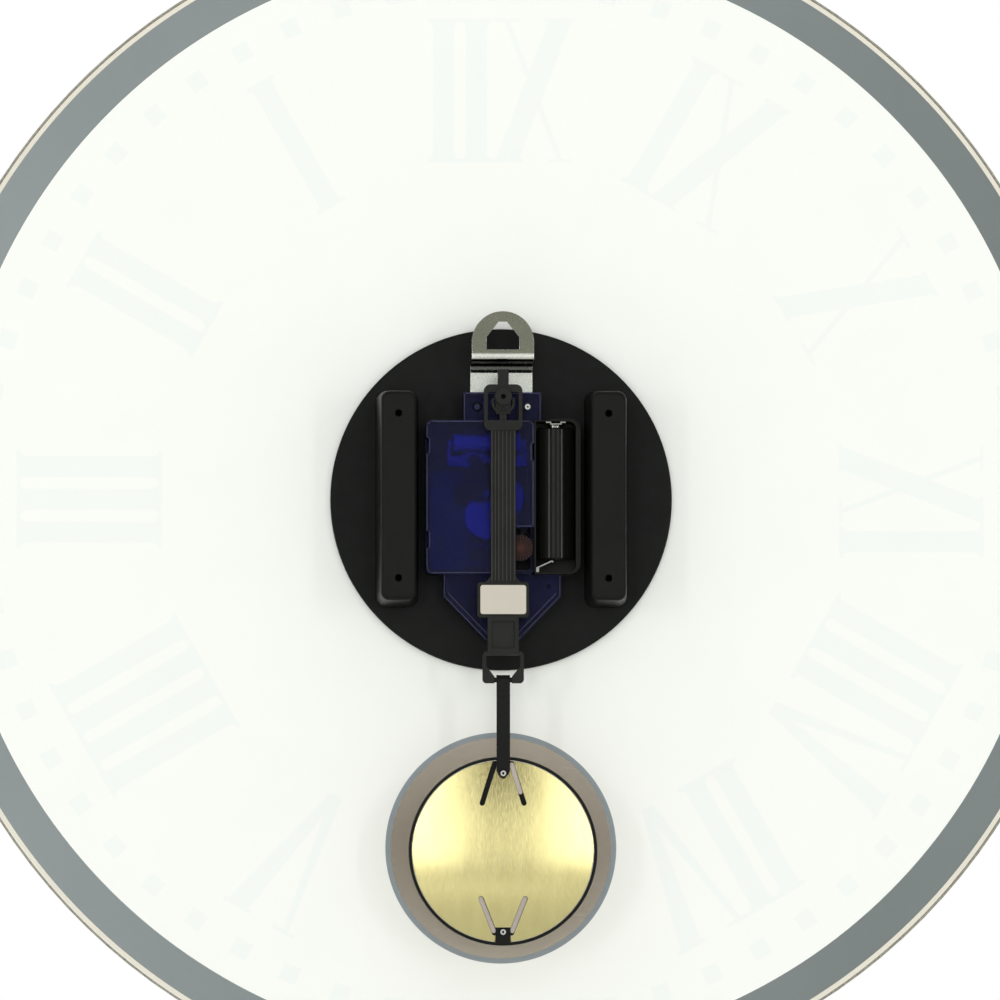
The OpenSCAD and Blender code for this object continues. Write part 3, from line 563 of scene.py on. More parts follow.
def case_plastic():
    """Black moulded case, greyer on the floor of the battery well where light is painted to lift its shade."""
    s = Shader("case_plastic")
    fine = s.noise(2400, 2)
    low = s.span(s.axis("Y"), GLASS_REAR + 6 * MM, GLASS_REAR + 17 * MM, 1, 0)
    aside = s.span(s.axis("X"), DIAL.x - 12.4 * MM, DIAL.x - 12 * MM, 1, 0)
    deep = s.math("MULTIPLY", low, aside)
    # Greyer tone on the battery well's floor: painted light lifting its shade
    black, well_fill_light = (s.ramp(fine, shades(colour, 0.1)) for colour in (srgb(24, 25, 23), srgb(56, 57, 54)))
    tone = s.blend_colour(deep, black, well_fill_light)
    return s.done(s.principled(tone, s.span(s.noise(260, 4), 0.3, 0.7, 0.36, 0.46),
                               s.bumped(fine, 0.018 * MM, 0.6, 0.2 * MM), Specular_IOR_Level=0.12))


def foam():
    """Closed-cell foam with small round cells."""
    s = Shader("closed_cell_foam")
    cells = s.node("TexVoronoi")
    cells.inputs["Scale"].default_value = 2600
    s.link(s.coords, cells.inputs["Vector"])
    tone = s.ramp(cells.outputs["Distance"], [(0.0, srgb(38, 38, 37)), (0.7, srgb(72, 72, 70))])
    return s.done(s.principled(tone, s.span(s.noise(90, 2), 0.3, 0.7, 0.8, 0.95),
                               s.bumped(cells.outputs["Distance"], 0.06 * MM, 0.8)))


BLACK_DISC = plastic("disc_plastic", srgb(22, 24, 22), 0.46, grain=2600)
BAR_PLASTIC = plastic("bar_plastic", srgb(22, 23, 21), 0.40, grain=2400, depth=0.016, spread=0.08)
CASE_PLASTIC = case_plastic()
ARM_PLASTIC = plastic("arm_plastic", srgb(38, 38, 36), 0.46, grain=1900, depth=0.035, spread=0.12)
GEAR_DARK = plastic("acetal_dark", srgb(42, 42, 40), 0.36, grain=3200, depth=0.006, bevel=0.08)
GEAR_WHITE = plastic("acetal_white", srgb(232, 232, 226), 0.34, grain=3200, depth=0.006, spread=0.02,
                     bevel=0.08)
KNOB_BROWN = ribbed_knob()
CHIP_EPOXY = plastic("chip_epoxy", srgb(17, 17, 17), 0.55, grain=3000, depth=0.02)
GASKET = plastic("gasket_rubber", srgb(34, 34, 33), 0.8, grain=2000, depth=0.03, specular=0.08)
FERRITE = plastic("bonded_ferrite", srgb(80, 80, 84), 0.5, grain=2600, depth=0.02)
MAGNET = plastic("magnet_coating", srgb(200, 194, 181), 0.5, grain=2600, depth=0.02, spread=0.03, bevel=0.35)
BLACK_LACQUER = plastic("black_lacquer", srgb(22, 23, 21), 0.30, depth=0.008, spread=0.08, bevel=0.1)
HAND_PAINT = plastic("slate_paint", srgb(62, 74, 82), 0.36, grain=2600, depth=0.008, spread=0.05, bevel=0.08)
NICKEL_SHEET = nickel_sheet()
STATOR_IRON = metal("stator_iron", srgb(150, 150, 144), 0.42, "x")
TIN_DULL = metal("dull_tin", srgb(96, 97, 95), 0.5, depth=0.003)
CONTACT_STEEL = metal("contact_steel", srgb(168, 168, 162), 0.24, "y", depth=0.002)
CASE_SCREW = case_screw()
RIVET_STEEL = rivet_steel()
# Black metal for the spacer screws deep in the bars' holes
SCREW_BLACK = metal("screw_black_metal", srgb(30, 30, 31), 0.34, depth=0.003)
BRASS_TURNED = metal("turned_brass", srgb(214, 184, 112), 0.26, depth=0.003)
BRASS_BRUSHED = brushed_brass()
# Near-white brass: a painted highlight on the bob's rim bead
BEAD_HIGHLIGHT_BRASS = metal("bead_highlight_brass", srgb(252, 250, 232), 0.2, depth=0.002, bevel=0.02)
# Pale metal strips in the slots: a painted reflection off the core
SLOT_GLINT = metal("slot_glint", srgb(196, 186, 178), 0.32, depth=0.003)
# Paler blue plastic on the cover's edges: a painted highlight
COVER_EDGE_HIGHLIGHT = plastic("cover_rim", srgb(56, 57, 86), 0.35, grain=2600, depth=0.006, bevel=0.05)
# Paler plastic for the strap's ridges: painted highlight lines
ARM_RIDGE_HIGHLIGHT = plastic("arm_ridge", srgb(62, 62, 57), 0.4, grain=1600, bevel=0.05)
# Near-black plastic for painted shade in the pivot bore
BORE_SHADE = plastic("eye_black", srgb(9, 9, 9), 0.6, grain=2600, depth=0.006, bevel=0.05, specular=0.05)
GLASS = clear_glass()
COVER = blue_cover()
COAT = paint("white_enamel", srgb(244, 246, 241), 0.6, 0.006)
COAT_GHOST = paint("white_enamel_over_print", srgb(240, 244, 240), 0.6, 0.006)
RING_GREY = ring_enamel()
PRINT_SLATE = paint("slate_enamel", srgb(84, 96, 104), 0.5, 0.03)
TRIM_GREY = paint("trim_enamel", srgb(138, 147, 152), 0.5, 0.03)
EDGE_CREAM = paint("cream_enamel", srgb(226, 221, 206), 0.5, 0.03)
FILM = smoked_film()
WINDING = plastic("coil_tape", srgb(222, 222, 214), 0.5, grain=1800, depth=0.02, spread=0.04)
DRIVE_WINDING = wound_coil("drive_wire", "Y")
BOARD = circuit_green()
SLEEVE = battery_sleeve()
FOAM = foam()

CAD_MATERIALS = {
    "dial_glass": GLASS, "foam_tape": FOAM, "back_plate": BLACK_DISC, "spacer_left": BAR_PLASTIC,
    "spacer_right": BAR_PLASTIC, "spacer_screws": SCREW_BLACK, "hanger": NICKEL_SHEET, "gasket": GASKET,
    "movement_base": CASE_PLASTIC, "movement_cover": COVER, "case_screws": CASE_SCREW,
    "threaded_bushing": BRASS_TURNED, "dial_washer": BRASS_TURNED, "mounting_nut": BRASS_TURNED,
    "centre_arbor": BRASS_TURNED, "minute_hand": HAND_PAINT, "hand_cap": BRASS_TURNED,
    "hour_wheel": GEAR_DARK, "hour_hand": HAND_PAINT, "minute_wheel": GEAR_DARK, "set_knob": KNOB_BROWN,
    "centre_wheel": GEAR_DARK, "third_wheel": GEAR_WHITE, "second_wheel": GEAR_WHITE,
    "intermediate_wheel": GEAR_DARK, "rotor": FERRITE, "motor_stator": STATOR_IRON,
    "motor_bobbin": GEAR_WHITE, "motor_winding": WINDING, "circuit_board": BOARD,
    "control_chip": CHIP_EPOXY, "quartz_crystal": TIN_DULL, "contact_strips": TIN_DULL,
    "positive_contact": CONTACT_STEEL, "negative_contact": CONTACT_STEEL, "battery": SLEEVE,
    "battery_cap": CONTACT_STEEL, "drive_coil_bobbin": GEAR_WHITE, "drive_coil_winding": DRIVE_WINDING,
    "pivot_post": ARM_PLASTIC, "pendulum_arm": ARM_PLASTIC, "drive_magnet": MAGNET,
    "pendulum_rod": BLACK_LACQUER, "bob_core": BLACK_LACQUER, "bob_face_rear": BRASS_BRUSHED,
    "bob_face_front": BRASS_BRUSHED, "bob_rivets": RIVET_STEEL,
}
for node_name, node_material in CAD_MATERIALS.items():
    for material_slot in NODES[node_name].material_slots:
        material_slot.material = node_material

# ---- Mesh building, in millimetres around the dial's centre ----


def circle_points(r, count=96, x=0.0, z=0.0):
    return [(x + r * math.cos(2 * math.pi * i / count), z + r * math.sin(2 * math.pi * i / count))
            for i in range(count)]


def rounded_points(half_w, half_h, r):
    """Outline of a rectangle with round corners."""
    points, corner = [], 8
    for cx, cz, start in ((1, 1, 0), (-1, 1, 90), (-1, -1, 180), (1, -1, 270)):
        for i in range(corner + 1):
            a = math.radians(start + 90 * i / corner)
            points.append((cx * (half_w - r) + r * math.cos(a), cz * (half_h - r) + r * math.sin(a)))
    return points


def slot_points(a, b, r):
    """Outline of a straight slot with round ends."""
    along = Vector(b) - Vector(a)
    turn = math.atan2(along.y, along.x)
    points, cap = [], 10
    for (x, z), start in ((b, turn - math.pi / 2), (a, turn + math.pi / 2)):
        for i in range(cap + 1):
            angle = start + math.pi * i / cap
            points.append((x + r * math.cos(angle), z + r * math.sin(angle)))
    return points


def distance_to_line(p, a, b):
    a, b, p = Vector(a), Vector(b), Vector(p)
    along = b - a
    t = max(0, min(1, (p - a).dot(along) / along.length_squared))
    return (p - a - along * t).length


def finish_mesh(name, bm, material, body, smooth=True):
    """Turns a bmesh into a piece that rides on a body. Flat faces across Y stay flat when smooth."""
    bmesh.ops.remove_doubles(bm, verts=bm.verts, dist=1e-8)
    bmesh.ops.recalc_face_normals(bm, faces=bm.faces)
    for face in bm.faces:
        face.smooth = smooth
    for edge in bm.edges:
        flats = [abs(face.normal.y) > 0.99999 for face in edge.link_faces]
        edge.smooth = len(flats) == 2 and flats[0] == flats[1] and edge.calc_face_angle() < math.radians(35)
    mesh = bpy.data.meshes.new(name)
    bm.to_mesh(mesh)
    bm.free()
    mesh.materials.append(material)
    piece = bpy.data.objects.new(name, mesh)
    bpy.context.scene.collection.objects.link(piece)
    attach(piece, body)
    return piece


def prism(bm, points, y0, y1):
    """A closed plate with one outline, between two depths."""
    low = [bm.verts.new(dial_point(x, y0, z)) for x, z in points]
    high = [bm.verts.new(dial_point(x, y1, z)) for x, z in points]
    bm.faces.new(low)
    bm.faces.new(list(reversed(high)))
    for i in range(len(points)):
        j = (i + 1) % len(points)
        bm.faces.new((low[i], high[i], high[j], low[j]))


def triangles_between(loops, keep, inside_only=False, extra=()):
    """Points and triangles bounded by loops. keep(x, z) says which triangles stay."""
    coords, edges = [], []
    for loop in loops:
        start = len(coords)
        coords += [Vector(p) for p in loop]
        edges += [(start + i, start + (i + 1) % len(loop)) for i in range(len(loop))]
    coords += [Vector(p) for p in extra]
    points, _, triangles, *_ = delaunay_2d_cdt(coords, edges, [], int(inside_only), 1e-6)
    kept = []
    for t in triangles:
        c = sum((points[i] for i in t), Vector((0, 0))) / 3
        if keep(c.x, c.y):
            kept.append(t)
    return points, kept


def join_rings(bm, rings):
    """Quads between neighbouring rings that have the same number of points."""
    for a, b in zip(rings, rings[1:]):
        for i in range(len(a)):
            j = (i + 1) % len(a)
            bm.faces.new((a[i], a[j], b[j], b[i]))


def plate(bm, loops, keep, front, rear, extra=()):
    """A closed sheet bounded by loops; front(x, z) and rear(x, z) give its depths."""
    points, kept = triangles_between(loops, keep, extra=extra)
    used = sorted({i for t in kept for i in t})
    low = {i: bm.verts.new(dial_point(points[i].x, front(*points[i]), points[i].y)) for i in used}
    high = {i: bm.verts.new(dial_point(points[i].x, rear(*points[i]), points[i].y)) for i in used}
    count = {}
    for t in kept:
        bm.faces.new([low[i] for i in t])
        bm.faces.new([high[i] for i in reversed(t)])
        for k in range(3):
            e = (t[k], t[(k + 1) % 3])
            count.setdefault(frozenset(e), []).append(e)
    for sides in count.values():
        if len(sides) == 1:
            a, b = sides[0]
            bm.faces.new((low[b], low[a], high[a], high[b]))


def level(y):
    return lambda x, z: y


def lathe(bm, profile, x, z, count=96):
    """A closed profile of (radius, depth), away from the axis, turned about the Y line through x, z."""
    rings = [[bm.verts.new(dial_point(a, y, b)) for a, b in circle_points(r, count, x, z)] for r, y in profile]
    join_rings(bm, rings + rings[:1])


# ---- Print on the back of the glass ----

REAR = GLASS_REAR / MM
RING_IN, RING_OUT = 201.8, 214.8
CREAM_OUT = 216.4
WINDOW_R, TRIM_IN = 42.0, 40.3
WINDOW = (0.0, (BOB.z - DIAL.z) / MM + 1.7, WINDOW_R)
NUMERAL_FOOT, NUMERAL_HEIGHT = 124.0, 53.0
MINUTE_R, MINUTE_HALF = 189.6, 3.2
THICK, THIN, SERIF = 7.6, 2.0, 1.2


def stroke_i(x):
    """Upright stroke centred at x, with bracketed serifs."""
    h, w, reach, bend = NUMERAL_HEIGHT, THICK / 2, 5.9, 3.2
    corner = [(reach, SERIF), (w + 0.9, SERIF + 0.5), (w + 0.25, SERIF + 1.5), (w, SERIF + bend)]
    right = [(reach, 0)] + corner + [(a, h - b) for a, b in reversed(corner)] + [(reach, h)]
    return [[(x + a, b) for a, b in right] + [(x - a, b) for a, b in reversed(right)]]


def serif_bar(x0, x1, top):
    y0, y1 = (NUMERAL_HEIGHT - SERIF, NUMERAL_HEIGHT) if top else (0, SERIF)
    return [(x0, y0), (x1, y0), (x1, y1), (x0, y1)]


def stroke_x(x):
    """A thick stroke falling to the right and a thin one crossing it, centred at x."""
    h, half, t, n = NUMERAL_HEIGHT, 9.6, THICK / 2 + 0.4, THIN / 2
    s0, s1 = SERIF, NUMERAL_HEIGHT - SERIF
    thick = [(-half - t, s1), (-half + t, s1), (half + t, s0), (half - t, s0)]
    slope = (2 * half) / (s1 - s0)

    def meet(edge, side):
        # Where the thin stroke's edge meets the thick stroke's edge
        level_at = (edge - side) / (2 * slope) + h / 2
        return (edge - slope * (level_at - h / 2), level_at)

    upper = [meet(t, -n), meet(t, n), (half + n, s1), (half - n, s1)]
    lower = [meet(-t, n), meet(-t, -n), (-half - n, s0), (-half + n, s0)]
    parts = [thick, upper, lower, serif_bar(-15, -4.2, True), serif_bar(5.2, 14, True),
             serif_bar(-14, -5.2, False), serif_bar(4.2, 15, False)]
    return [[(x + a, b) for a, b in part] for part in parts]


def stroke_v(x):
    """A thick stroke falling to the foot and a thin one rising from it, centred at x."""
    half, t, n, s1 = 9.2, THICK / 2 + 0.4, THIN / 2, NUMERAL_HEIGHT - SERIF
    foot = 2.0
    thick = [(-half - t, s1), (-half + t, s1), (foot + 0.9, 0), (foot - 2.2, 0)]
    slope = (foot + 0.9 - (-half + t)) / s1
    start = 8.0
    edge_x = foot + 0.9 - slope * start
    thin = [(foot + 0.9, 0), (foot + 2.4, 0), (half + 1.5 + n, s1), (half + 1.5 - n, s1), (edge_x, start)]
    parts = [thick, thin, serif_bar(-15, -3.6, True), serif_bar(5.6, 14.6, True)]
    return [[(x + a, b) for a, b in part] for part in parts]


STROKES = {"I": (stroke_i, 12.0), "X": (stroke_x, 30.0), "V": (stroke_v, 30.0)}
# The window takes the place of six
NUMERALS = {0: "XII", 1: "I", 2: "II", 3: "III", 4: "IIII", 5: "V",
            7: "VII", 8: "VIII", 9: "IX", 10: "X", 11: "XI"}


def numeral_outlines():
    """Every numeral's outlines as dial points; numerals stand with their feet to the centre."""
    for hour, letters in NUMERALS.items():
        turn = math.radians(30 * hour)
        width = sum(STROKES[c][1] for c in letters)
        x = -width / 2
        for c in letters:
            make, advance = STROKES[c]
            for outline in make(x + advance / 2):
                yield [(u * math.cos(turn) + (NUMERAL_FOOT + v) * math.sin(turn),
                        -u * math.sin(turn) + (NUMERAL_FOOT + v) * math.cos(turn)) for u, v in outline]
            x += advance


def minute_outlines():
    """The small squares that mark the minutes."""
    for minute in range(60):
        turn = math.radians(6 * minute)
        corners = [(-MINUTE_HALF, -MINUTE_HALF), (MINUTE_HALF, -MINUTE_HALF),
                   (MINUTE_HALF, MINUTE_HALF), (-MINUTE_HALF, MINUTE_HALF)]
        yield [(u * math.cos(turn) + (MINUTE_R + v) * math.sin(turn),
                -u * math.sin(turn) + (MINUTE_R + v) * math.cos(turn)) for u, v in corners]


def print_piece(name, outlines, y0, y1, material):
    bm = bmesh.new()
    for outline in outlines:
        prism(bm, outline, y0, y1)
    return finish_mesh(name, bm, material, "clock", smooth=False)


def ring_piece(name, r_in, r_out, y0, y1, material, holes=()):
    """Flat ring around the dial's centre, less any round holes given as (x, z, r)."""
    loops = [circle_points(r_out, 480), circle_points(r_in, 240)]
    loops += [circle_points(r, 160, x, z) for x, z, r in holes]

    def keep(x, z):
        d = math.hypot(x, z)
        return r_in < d < r_out and all(math.hypot(x - hx, z - hz) > hr for hx, hz, hr in holes)

    bm = bmesh.new()
    plate(bm, loops, keep, level(y0), level(y1))
    return finish_mesh(name, bm, material, "clock", smooth=False)


def disc_around(name, r_in, r_out, y0, y1, material):
    """Flat ring or disc around the window's centre."""
    x, z, _ = WINDOW
    bm = bmesh.new()
    loops = [circle_points(r_out, 240, x, z)]
    if r_in:
        loops.append(circle_points(r_in, 240, x, z))
    plate(bm, loops, lambda a, b: r_in < math.hypot(a - x, b - z) < r_out, level(y0), level(y1))
    return finish_mesh(name, bm, material, "clock", smooth=False)


def make_print():
    """The layers of the print: its front is sunk into the glass, its back lies on it."""
    bushing_hole, tape_r = 4.2, 55.3
    front = (REAR - 0.07, REAR - 0.06)
    print_piece("dial_numerals", numeral_outlines(), *front, PRINT_SLATE)
    print_piece("dial_minutes", minute_outlines(), *front, PRINT_SLATE)
    ring_piece("dial_ring", RING_IN, RING_OUT, *front, PRINT_SLATE)
    disc_around("window_trim_front", TRIM_IN, WINDOW_R, *front, PRINT_SLATE)
    ring_piece("dial_coat_front", bushing_hole, CREAM_OUT, REAR - 0.05, REAR - 0.02, COAT, [WINDOW])
    ring_piece("dial_coat", tape_r, RING_IN, REAR + 0.01, REAR + 0.04, COAT, [WINDOW])
    ring_piece("ring_back", RING_IN, RING_OUT, REAR + 0.01, REAR + 0.05, RING_GREY)
    ring_piece("cream_line", RING_OUT, CREAM_OUT, REAR + 0.01, REAR + 0.04, EDGE_CREAM)
    print_piece("coat_over_numerals", numeral_outlines(), REAR + 0.03, REAR + 0.055, COAT_GHOST)
    print_piece("coat_over_minutes", minute_outlines(), REAR + 0.03, REAR + 0.055, COAT_GHOST)
    disc_around("window_film", 0, TRIM_IN + 0.3, REAR + 0.01, REAR + 0.03, FILM)
    disc_around("window_trim", TRIM_IN, WINDOW_R + 0.2, REAR + 0.03, REAR + 0.06, TRIM_GREY)


make_print()

# ---- Stand-off bars ----

BAR_FILLET, BAR_DRAFT, BAR_CORNER = 1.5, 1.45, 4.0
BAR_HOLES = [(0, -30.0, 1.2), (0, 30.0, 1.2)]
CHAMFER = 0.25


def make_bar(node):
    """Drafted bar with a filleted top edge and two screw holes."""
    lo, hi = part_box(node)
    centre = (lo + hi) / 2
    x0, z0 = (centre.x - DIAL.x) / MM, (centre.z - DIAL.z) / MM
    half_w, half_h = (hi.x - lo.x) / 2 / MM, (hi.z - lo.z) / 2 / MM
    foot, top = lo.y / MM, hi.y / MM
    bm = bmesh.new()

    def ring(points, y):
        return [bm.verts.new(dial_point(x0 + x, y, z0 + z)) for x, z in points]

    def outline(inset):
        return rounded_points(half_w - inset, half_h - inset, max(BAR_CORNER - inset * 0.6, 1.2))

    steps = [(0.0, foot), (0.06, foot + 0.5), (BAR_DRAFT, top - BAR_FILLET - 0.2)]
    for i in range(1, 9):
        a = math.radians(90 * i / 8)
        steps.append((BAR_DRAFT + 0.05 + BAR_FILLET * (1 - math.cos(a)),
                      top - BAR_FILLET + BAR_FILLET * math.sin(a)))
    join_rings(bm, [ring(outline(inset), y) for inset, y in steps])

    def solid(x, z):
        return all(math.hypot(x - hx, z - hz) > r for hx, hz, r in BAR_HOLES)

    for (inset, y), wider in ((steps[0], 0), (steps[-1], CHAMFER)):
        loops = [outline(inset)] + [circle_points(r + wider, 32, hx, hz) for hx, hz, r in BAR_HOLES]
        flat, kept = triangles_between(loops, solid, inside_only=True)
        verts = ring(flat, y)
        for t in kept:
            bm.faces.new([verts[i] for i in t])
    for hx, hz, r in BAR_HOLES:
        wall = [(r, foot), (r, top - 0.3), (r + CHAMFER, top)]
        join_rings(bm, [ring(circle_points(rr, 32, hx, hz), y) for rr, y in wall])
    piece = finish_mesh(node + "_moulding", bm, BAR_PLASTIC, "clock")
    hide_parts(node)


for bar_node in ("spacer_left", "spacer_right"):
    make_bar(bar_node)

# ---- Fine lines on the case and the arm ----

CASE_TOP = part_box("movement_cover")[1].y / MM
UPPER_TOP, LOWER_TOP = CASE_TOP - 4.4, CASE_TOP - 6.4
RIM_HALF, RIM_HEIGHT = 0.19, 0.12
# The main cover's edge, round its three clip notches and the knob's corner
MAIN_RIM = [(-11.0, 19.8), (-11.0, 26.4), (-9.8, 27.55), (26.2, 27.55), (27.55, 26.2), (27.55, 21.8),
            (26.6, 21.8), (26.6, 15.7), (27.55, 15.7), (27.55, -12.2), (26.6, -12.2), (26.6, -18.8),
            (27.55, -18.8), (27.55, -26.2), (26.2, -27.55), (-0.6, -27.55), (-0.6, -10.6), (-11.0, -10.6),
            (-11.0, 13.2), (-10.3, 13.2), (-10.3, 19.8), (-11.0, 19.8)]
UPPER_RIM = [(13.75, 28.3), (13.75, 38.05), (-13.75, 38.05), (-13.75, 28.3)]
LOWER_RIM = [(21.05, -28.3), (21.05, -35.8), (5.8, -51.55), (-5.8, -51.55), (-21.05, -35.8), (-21.05, -28.3)]
LOWER_STEP = [(19.6, -34.9), (5.2, -49.8), (-5.2, -49.8), (-19.6, -34.9)]
STRAP_TOP, RIB_TOP = -5.5, -5.0
STRAP_FOOT, STRAP_HEAD = -30.6, 23.6
RIDGE_HALF = 0.14
BORE_FLOOR, BORE_R = -4.4, 0.84
SUNK = 0.02


def ribbon(bm, path, half, y0, y1):
    """Thin raised line along a path, one short plate for each stretch."""
    for a, b in zip(path, path[1:]):
        a, b = Vector(a), Vector(b)
        along = (b - a).normalized()
        side = Vector((-along.y, along.x)) * half
        a, b = a - along * half, b + along * half
        prism(bm, [tuple(a - side), tuple(b - side), tuple(b + side), tuple(a + side)], y0, y1)


def ribbon_piece(name, paths, half, y0, y1, material, body):
    bm = bmesh.new()
    for path in paths:
        ribbon(bm, path, half, y0, y1)
    return finish_mesh(name, bm, material, body, smooth=False)


def make_cover_rims():
    """Raised edges on the three levels of the cover, in a paler plastic that paints their highlight."""
    for name, paths, top in (("cover_rim_main", [MAIN_RIM], CASE_TOP),
                             ("cover_rim_upper", [UPPER_RIM], UPPER_TOP),
                             ("cover_rim_lower", [LOWER_RIM, LOWER_STEP], LOWER_TOP)):
        ribbon_piece(name, paths, RIM_HALF, top - SUNK, top + RIM_HEIGHT, COVER_EDGE_HIGHLIGHT, "clock")


def make_strap_ridges():
    """Fine ridges along the arm's strap, on its ribs and between them, in a paler plastic that paints their
    highlight lines.
    """
    for name, columns, base, height in (("strap_ridges", (-4.1, -1.3, 1.6, 4.1), RIB_TOP, 0.08),
                                        ("strap_ridges_low", (-2.7, 0.15, 2.85), STRAP_TOP, 0.18)):
        paths = [[(x, STRAP_FOOT), (x, STRAP_HEAD)] for x in columns]
        ribbon_piece(name, paths, RIDGE_HALF, base - SUNK, base + height, ARM_RIDGE_HIGHLIGHT, "pendulum")


def make_pivot_eye():
    """Painted shade: a black disc on the floor of the bore in the pivot post's head."""
    post = middle("pivot_post")
    bm = bmesh.new()
    eye = circle_points(BORE_R, 32, (post.x - DIAL.x) / MM, (post.z - DIAL.z) / MM)
    prism(bm, eye, BORE_FLOOR, BORE_FLOOR + 0.06)
    finish_mesh("pivot_eye", bm, BORE_SHADE, "clock", smooth=False)


make_cover_rims()
make_strap_ridges()
make_pivot_eye()

# ---- Bob faces ----

FACE_R, FACE_SAG, SHEET = 33.3, 1.8, 0.45
SLOT_R = 0.95
BOB_Z = (BOB.z - DIAL.z) / MM
REAR_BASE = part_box("bob_face_rear")[0].y / MM
FRONT_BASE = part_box("bob_face_front")[1].y / MM
BEAD_R, BEAD_HALF = 33.05, 0.15
RIVET = (0.0, 28.2 + BOB_Z, 1.6)
SLOTS = [((side * 3.0, 32.0), (side * 7.6, 17.4)) for side in (-1, 1)]
SLOTS += [((side * 3.1, -29.7), (side * 8.0, -17.3)) for side in (-1, 1)]
TAB_HALF, TAB_TOP = 2.8, -27.7


def dome_height(x, z):
    """Height of the dome over its rim, with a small rolled edge."""
    r = math.hypot(x, z - BOB_Z)
    sphere = (FACE_R ** 2 + FACE_SAG ** 2) / (2 * FACE_SAG)
    crown = math.sqrt(max(sphere ** 2 - r ** 2, 0)) - (sphere - FACE_SAG)
    roll = max(0.0, (r - (FACE_R - 0.5)) / 0.5)
    return crown + SHEET - 0.45 * roll ** 2


def dome_normal(co, towards, outward):
    """Normal of the dome above a point of its mesh, on its outer or its inner side."""
    x, z, step = (co.x - DIAL.x) / MM, (co.z - DIAL.z) / MM, 0.01
    slope_x = (dome_height(x + step, z) - dome_height(x - step, z)) / (2 * step)
    slope_z = (dome_height(x, z + step) - dome_height(x, z - step)) / (2 * step)
    normal = Vector((-slope_x, towards, -slope_z)).normalized()
    return normal if outward else -normal


def shade_as_dome(mesh, towards):
    """Gives the sheet's faces the true dome normals, whatever their triangles."""
    normals = []
    for polygon in mesh.polygons:
        facing = polygon.normal.y * towards
        for corner in polygon.loop_indices:
            co = mesh.vertices[mesh.loops[corner].vertex_index].co
            normals.append(dome_normal(co, towards, facing > 0) if abs(facing) > 0.6 else polygon.normal.copy())
    mesh.normals_split_custom_set(normals)


def face_grid():
    """Points inside the face, denser near its rim, that carry the dome's curve."""
    points = []
    rings = [2.0 * i for i in range(1, 16)] + [31.2, 32.2, 32.65, 32.85, 33.0, 33.1, 33.2]
    for r in rings:
        count = max(12, int(2 * math.pi * r / 2.0)) if r < 32.5 else 240
        points += circle_points(r, count, 0, BOB_Z)
    return points


def make_face(node, base, towards, slotted):
    """One brass sheet of the bob, domed away from the core."""
    slots = [((a[0], a[1] + BOB_Z), (b[0], b[1] + BOB_Z)) for a, b in SLOTS] if slotted else []
    loops = [circle_points(FACE_R, 240, 0, BOB_Z)]
    loops += [slot_points(a, b, SLOT_R) for a, b in slots]
    if slotted:
        loops.append(circle_points(RIVET[2], 40, RIVET[0], RIVET[1]))
        edge = BOB_Z - math.sqrt((FACE_R - 0.001) ** 2 - TAB_HALF ** 2)
        loops.append([(-TAB_HALF, edge - 2), (TAB_HALF, edge - 2), (TAB_HALF, TAB_TOP + BOB_Z),
                      (-TAB_HALF, TAB_TOP + BOB_Z)])

    def keep(x, z):
        if math.hypot(x, z - BOB_Z) > FACE_R:
            return False
        if not slotted:
            return True
        if abs(x) < TAB_HALF and z < TAB_TOP + BOB_Z:
            return False
        if math.hypot(x - RIVET[0], z - RIVET[1]) < RIVET[2]:
            return False
        return all(distance_to_line((x, z), a, b) > SLOT_R * 0.999 for a, b in slots)

    def clear(p):
        if not slotted:
            return True
        near_tab = abs(p[0]) < TAB_HALF + 0.5 and p[1] < TAB_TOP + BOB_Z + 0.5
        near_rivet = math.hypot(p[0] - RIVET[0], p[1] - RIVET[1]) < RIVET[2] + 0.5
        return not near_tab and not near_rivet and all(
            distance_to_line(p, a, b) > SLOT_R + 0.4 for a, b in slots)

    def outer(x, z):
        return base + towards * dome_height(x, z)

    def inner(x, z):
        return base + towards * max(dome_height(x, z) - SHEET, 0)

    bm = bmesh.new()
    plate(bm, loops, keep, outer if towards < 0 else inner, inner if towards < 0 else outer,
          [p for p in face_grid() if clear(p)])
    piece = finish_mesh(node + "_sheet", bm, BRASS_BRUSHED, "bob")
    shade_as_dome(piece.data, towards)
    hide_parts(node)


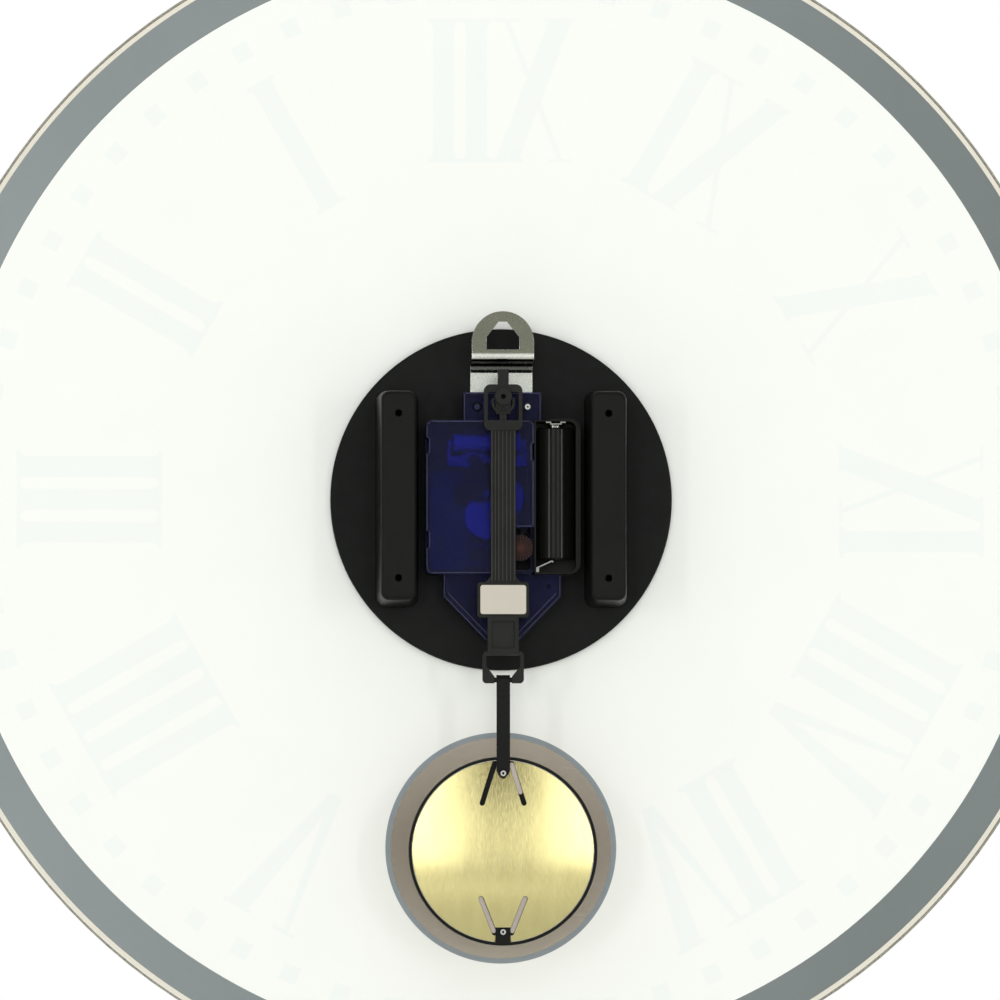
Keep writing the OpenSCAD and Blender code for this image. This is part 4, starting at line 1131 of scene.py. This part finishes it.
def make_slot_glint(name, slot, start, end):
    """Thin pale strip on the core, a painted reflection seen through one slot between two fractions of its
    length.
    """
    a, b = Vector(slot[0]), Vector(slot[1])
    first, last = a.lerp(b, start), a.lerp(b, end)
    bm = bmesh.new()
    outline = slot_points((first.x, first.y + BOB_Z), (last.x, last.y + BOB_Z), SLOT_R - 0.12)
    prism(bm, outline, REAR_BASE, REAR_BASE + 0.06)
    return finish_mesh(name, bm, SLOT_GLINT, "bob", smooth=False)


def make_bead():
    """Cut edge of the rear sheet, a rolled bead in near-white brass that paints its bright highlight line."""
    bm = bmesh.new()
    y = REAR_BASE + 0.34
    turns = [math.pi * i / 5 for i in range(10)]
    lathe(bm, [(BEAD_R + BEAD_HALF * math.cos(a), y + BEAD_HALF * math.sin(a)) for a in turns], 0, BOB_Z, 240)
    return finish_mesh("bob_rim_bead", bm, BEAD_HIGHLIGHT_BRASS, "bob")


make_face("bob_face_rear", REAR_BASE, 1, True)
make_face("bob_face_front", FRONT_BASE, -1, False)
make_bead()
make_slot_glint("slot_glint_top", SLOTS[0], 0.04, 0.72)
make_slot_glint("slot_glint_low_1", SLOTS[2], 0.06, 1.0)
make_slot_glint("slot_glint_low_2", SLOTS[3], 0.06, 1.0)

# ---- Floor ----


def make_floor():
    """Pale floor below the clock, a little darker where metal mirrors it."""
    half = 12.0
    bm = bmesh.new()
    z = GLASS_LOW.z - FLOOR_DROP
    corners = [(-half, -half), (half, -half), (half, half), (-half, half)]
    bm.faces.new([bm.verts.new((x, y, z)) for x, y in corners])
    mesh = bpy.data.meshes.new("floor")
    bm.to_mesh(mesh)
    bm.free()
    s = Shader("pale_floor")
    tone = s.ramp(s.noise(3, 3), [(0.3, srgb(238, 238, 235)), (0.7, srgb(244, 244, 241))])
    seen_in_metal = s.node("LightPath").outputs["Is Glossy Ray"]
    tone = s.blend_colour(seen_in_metal, tone, srgb(196, 196, 193))
    mesh.materials.append(s.done(s.principled(tone, 0.7, s.bumped(s.noise(300, 2), 0.1 * MM, 0.3))))
    floor = bpy.data.objects.new("floor", mesh)
    bpy.context.scene.collection.objects.link(floor)


make_floor()
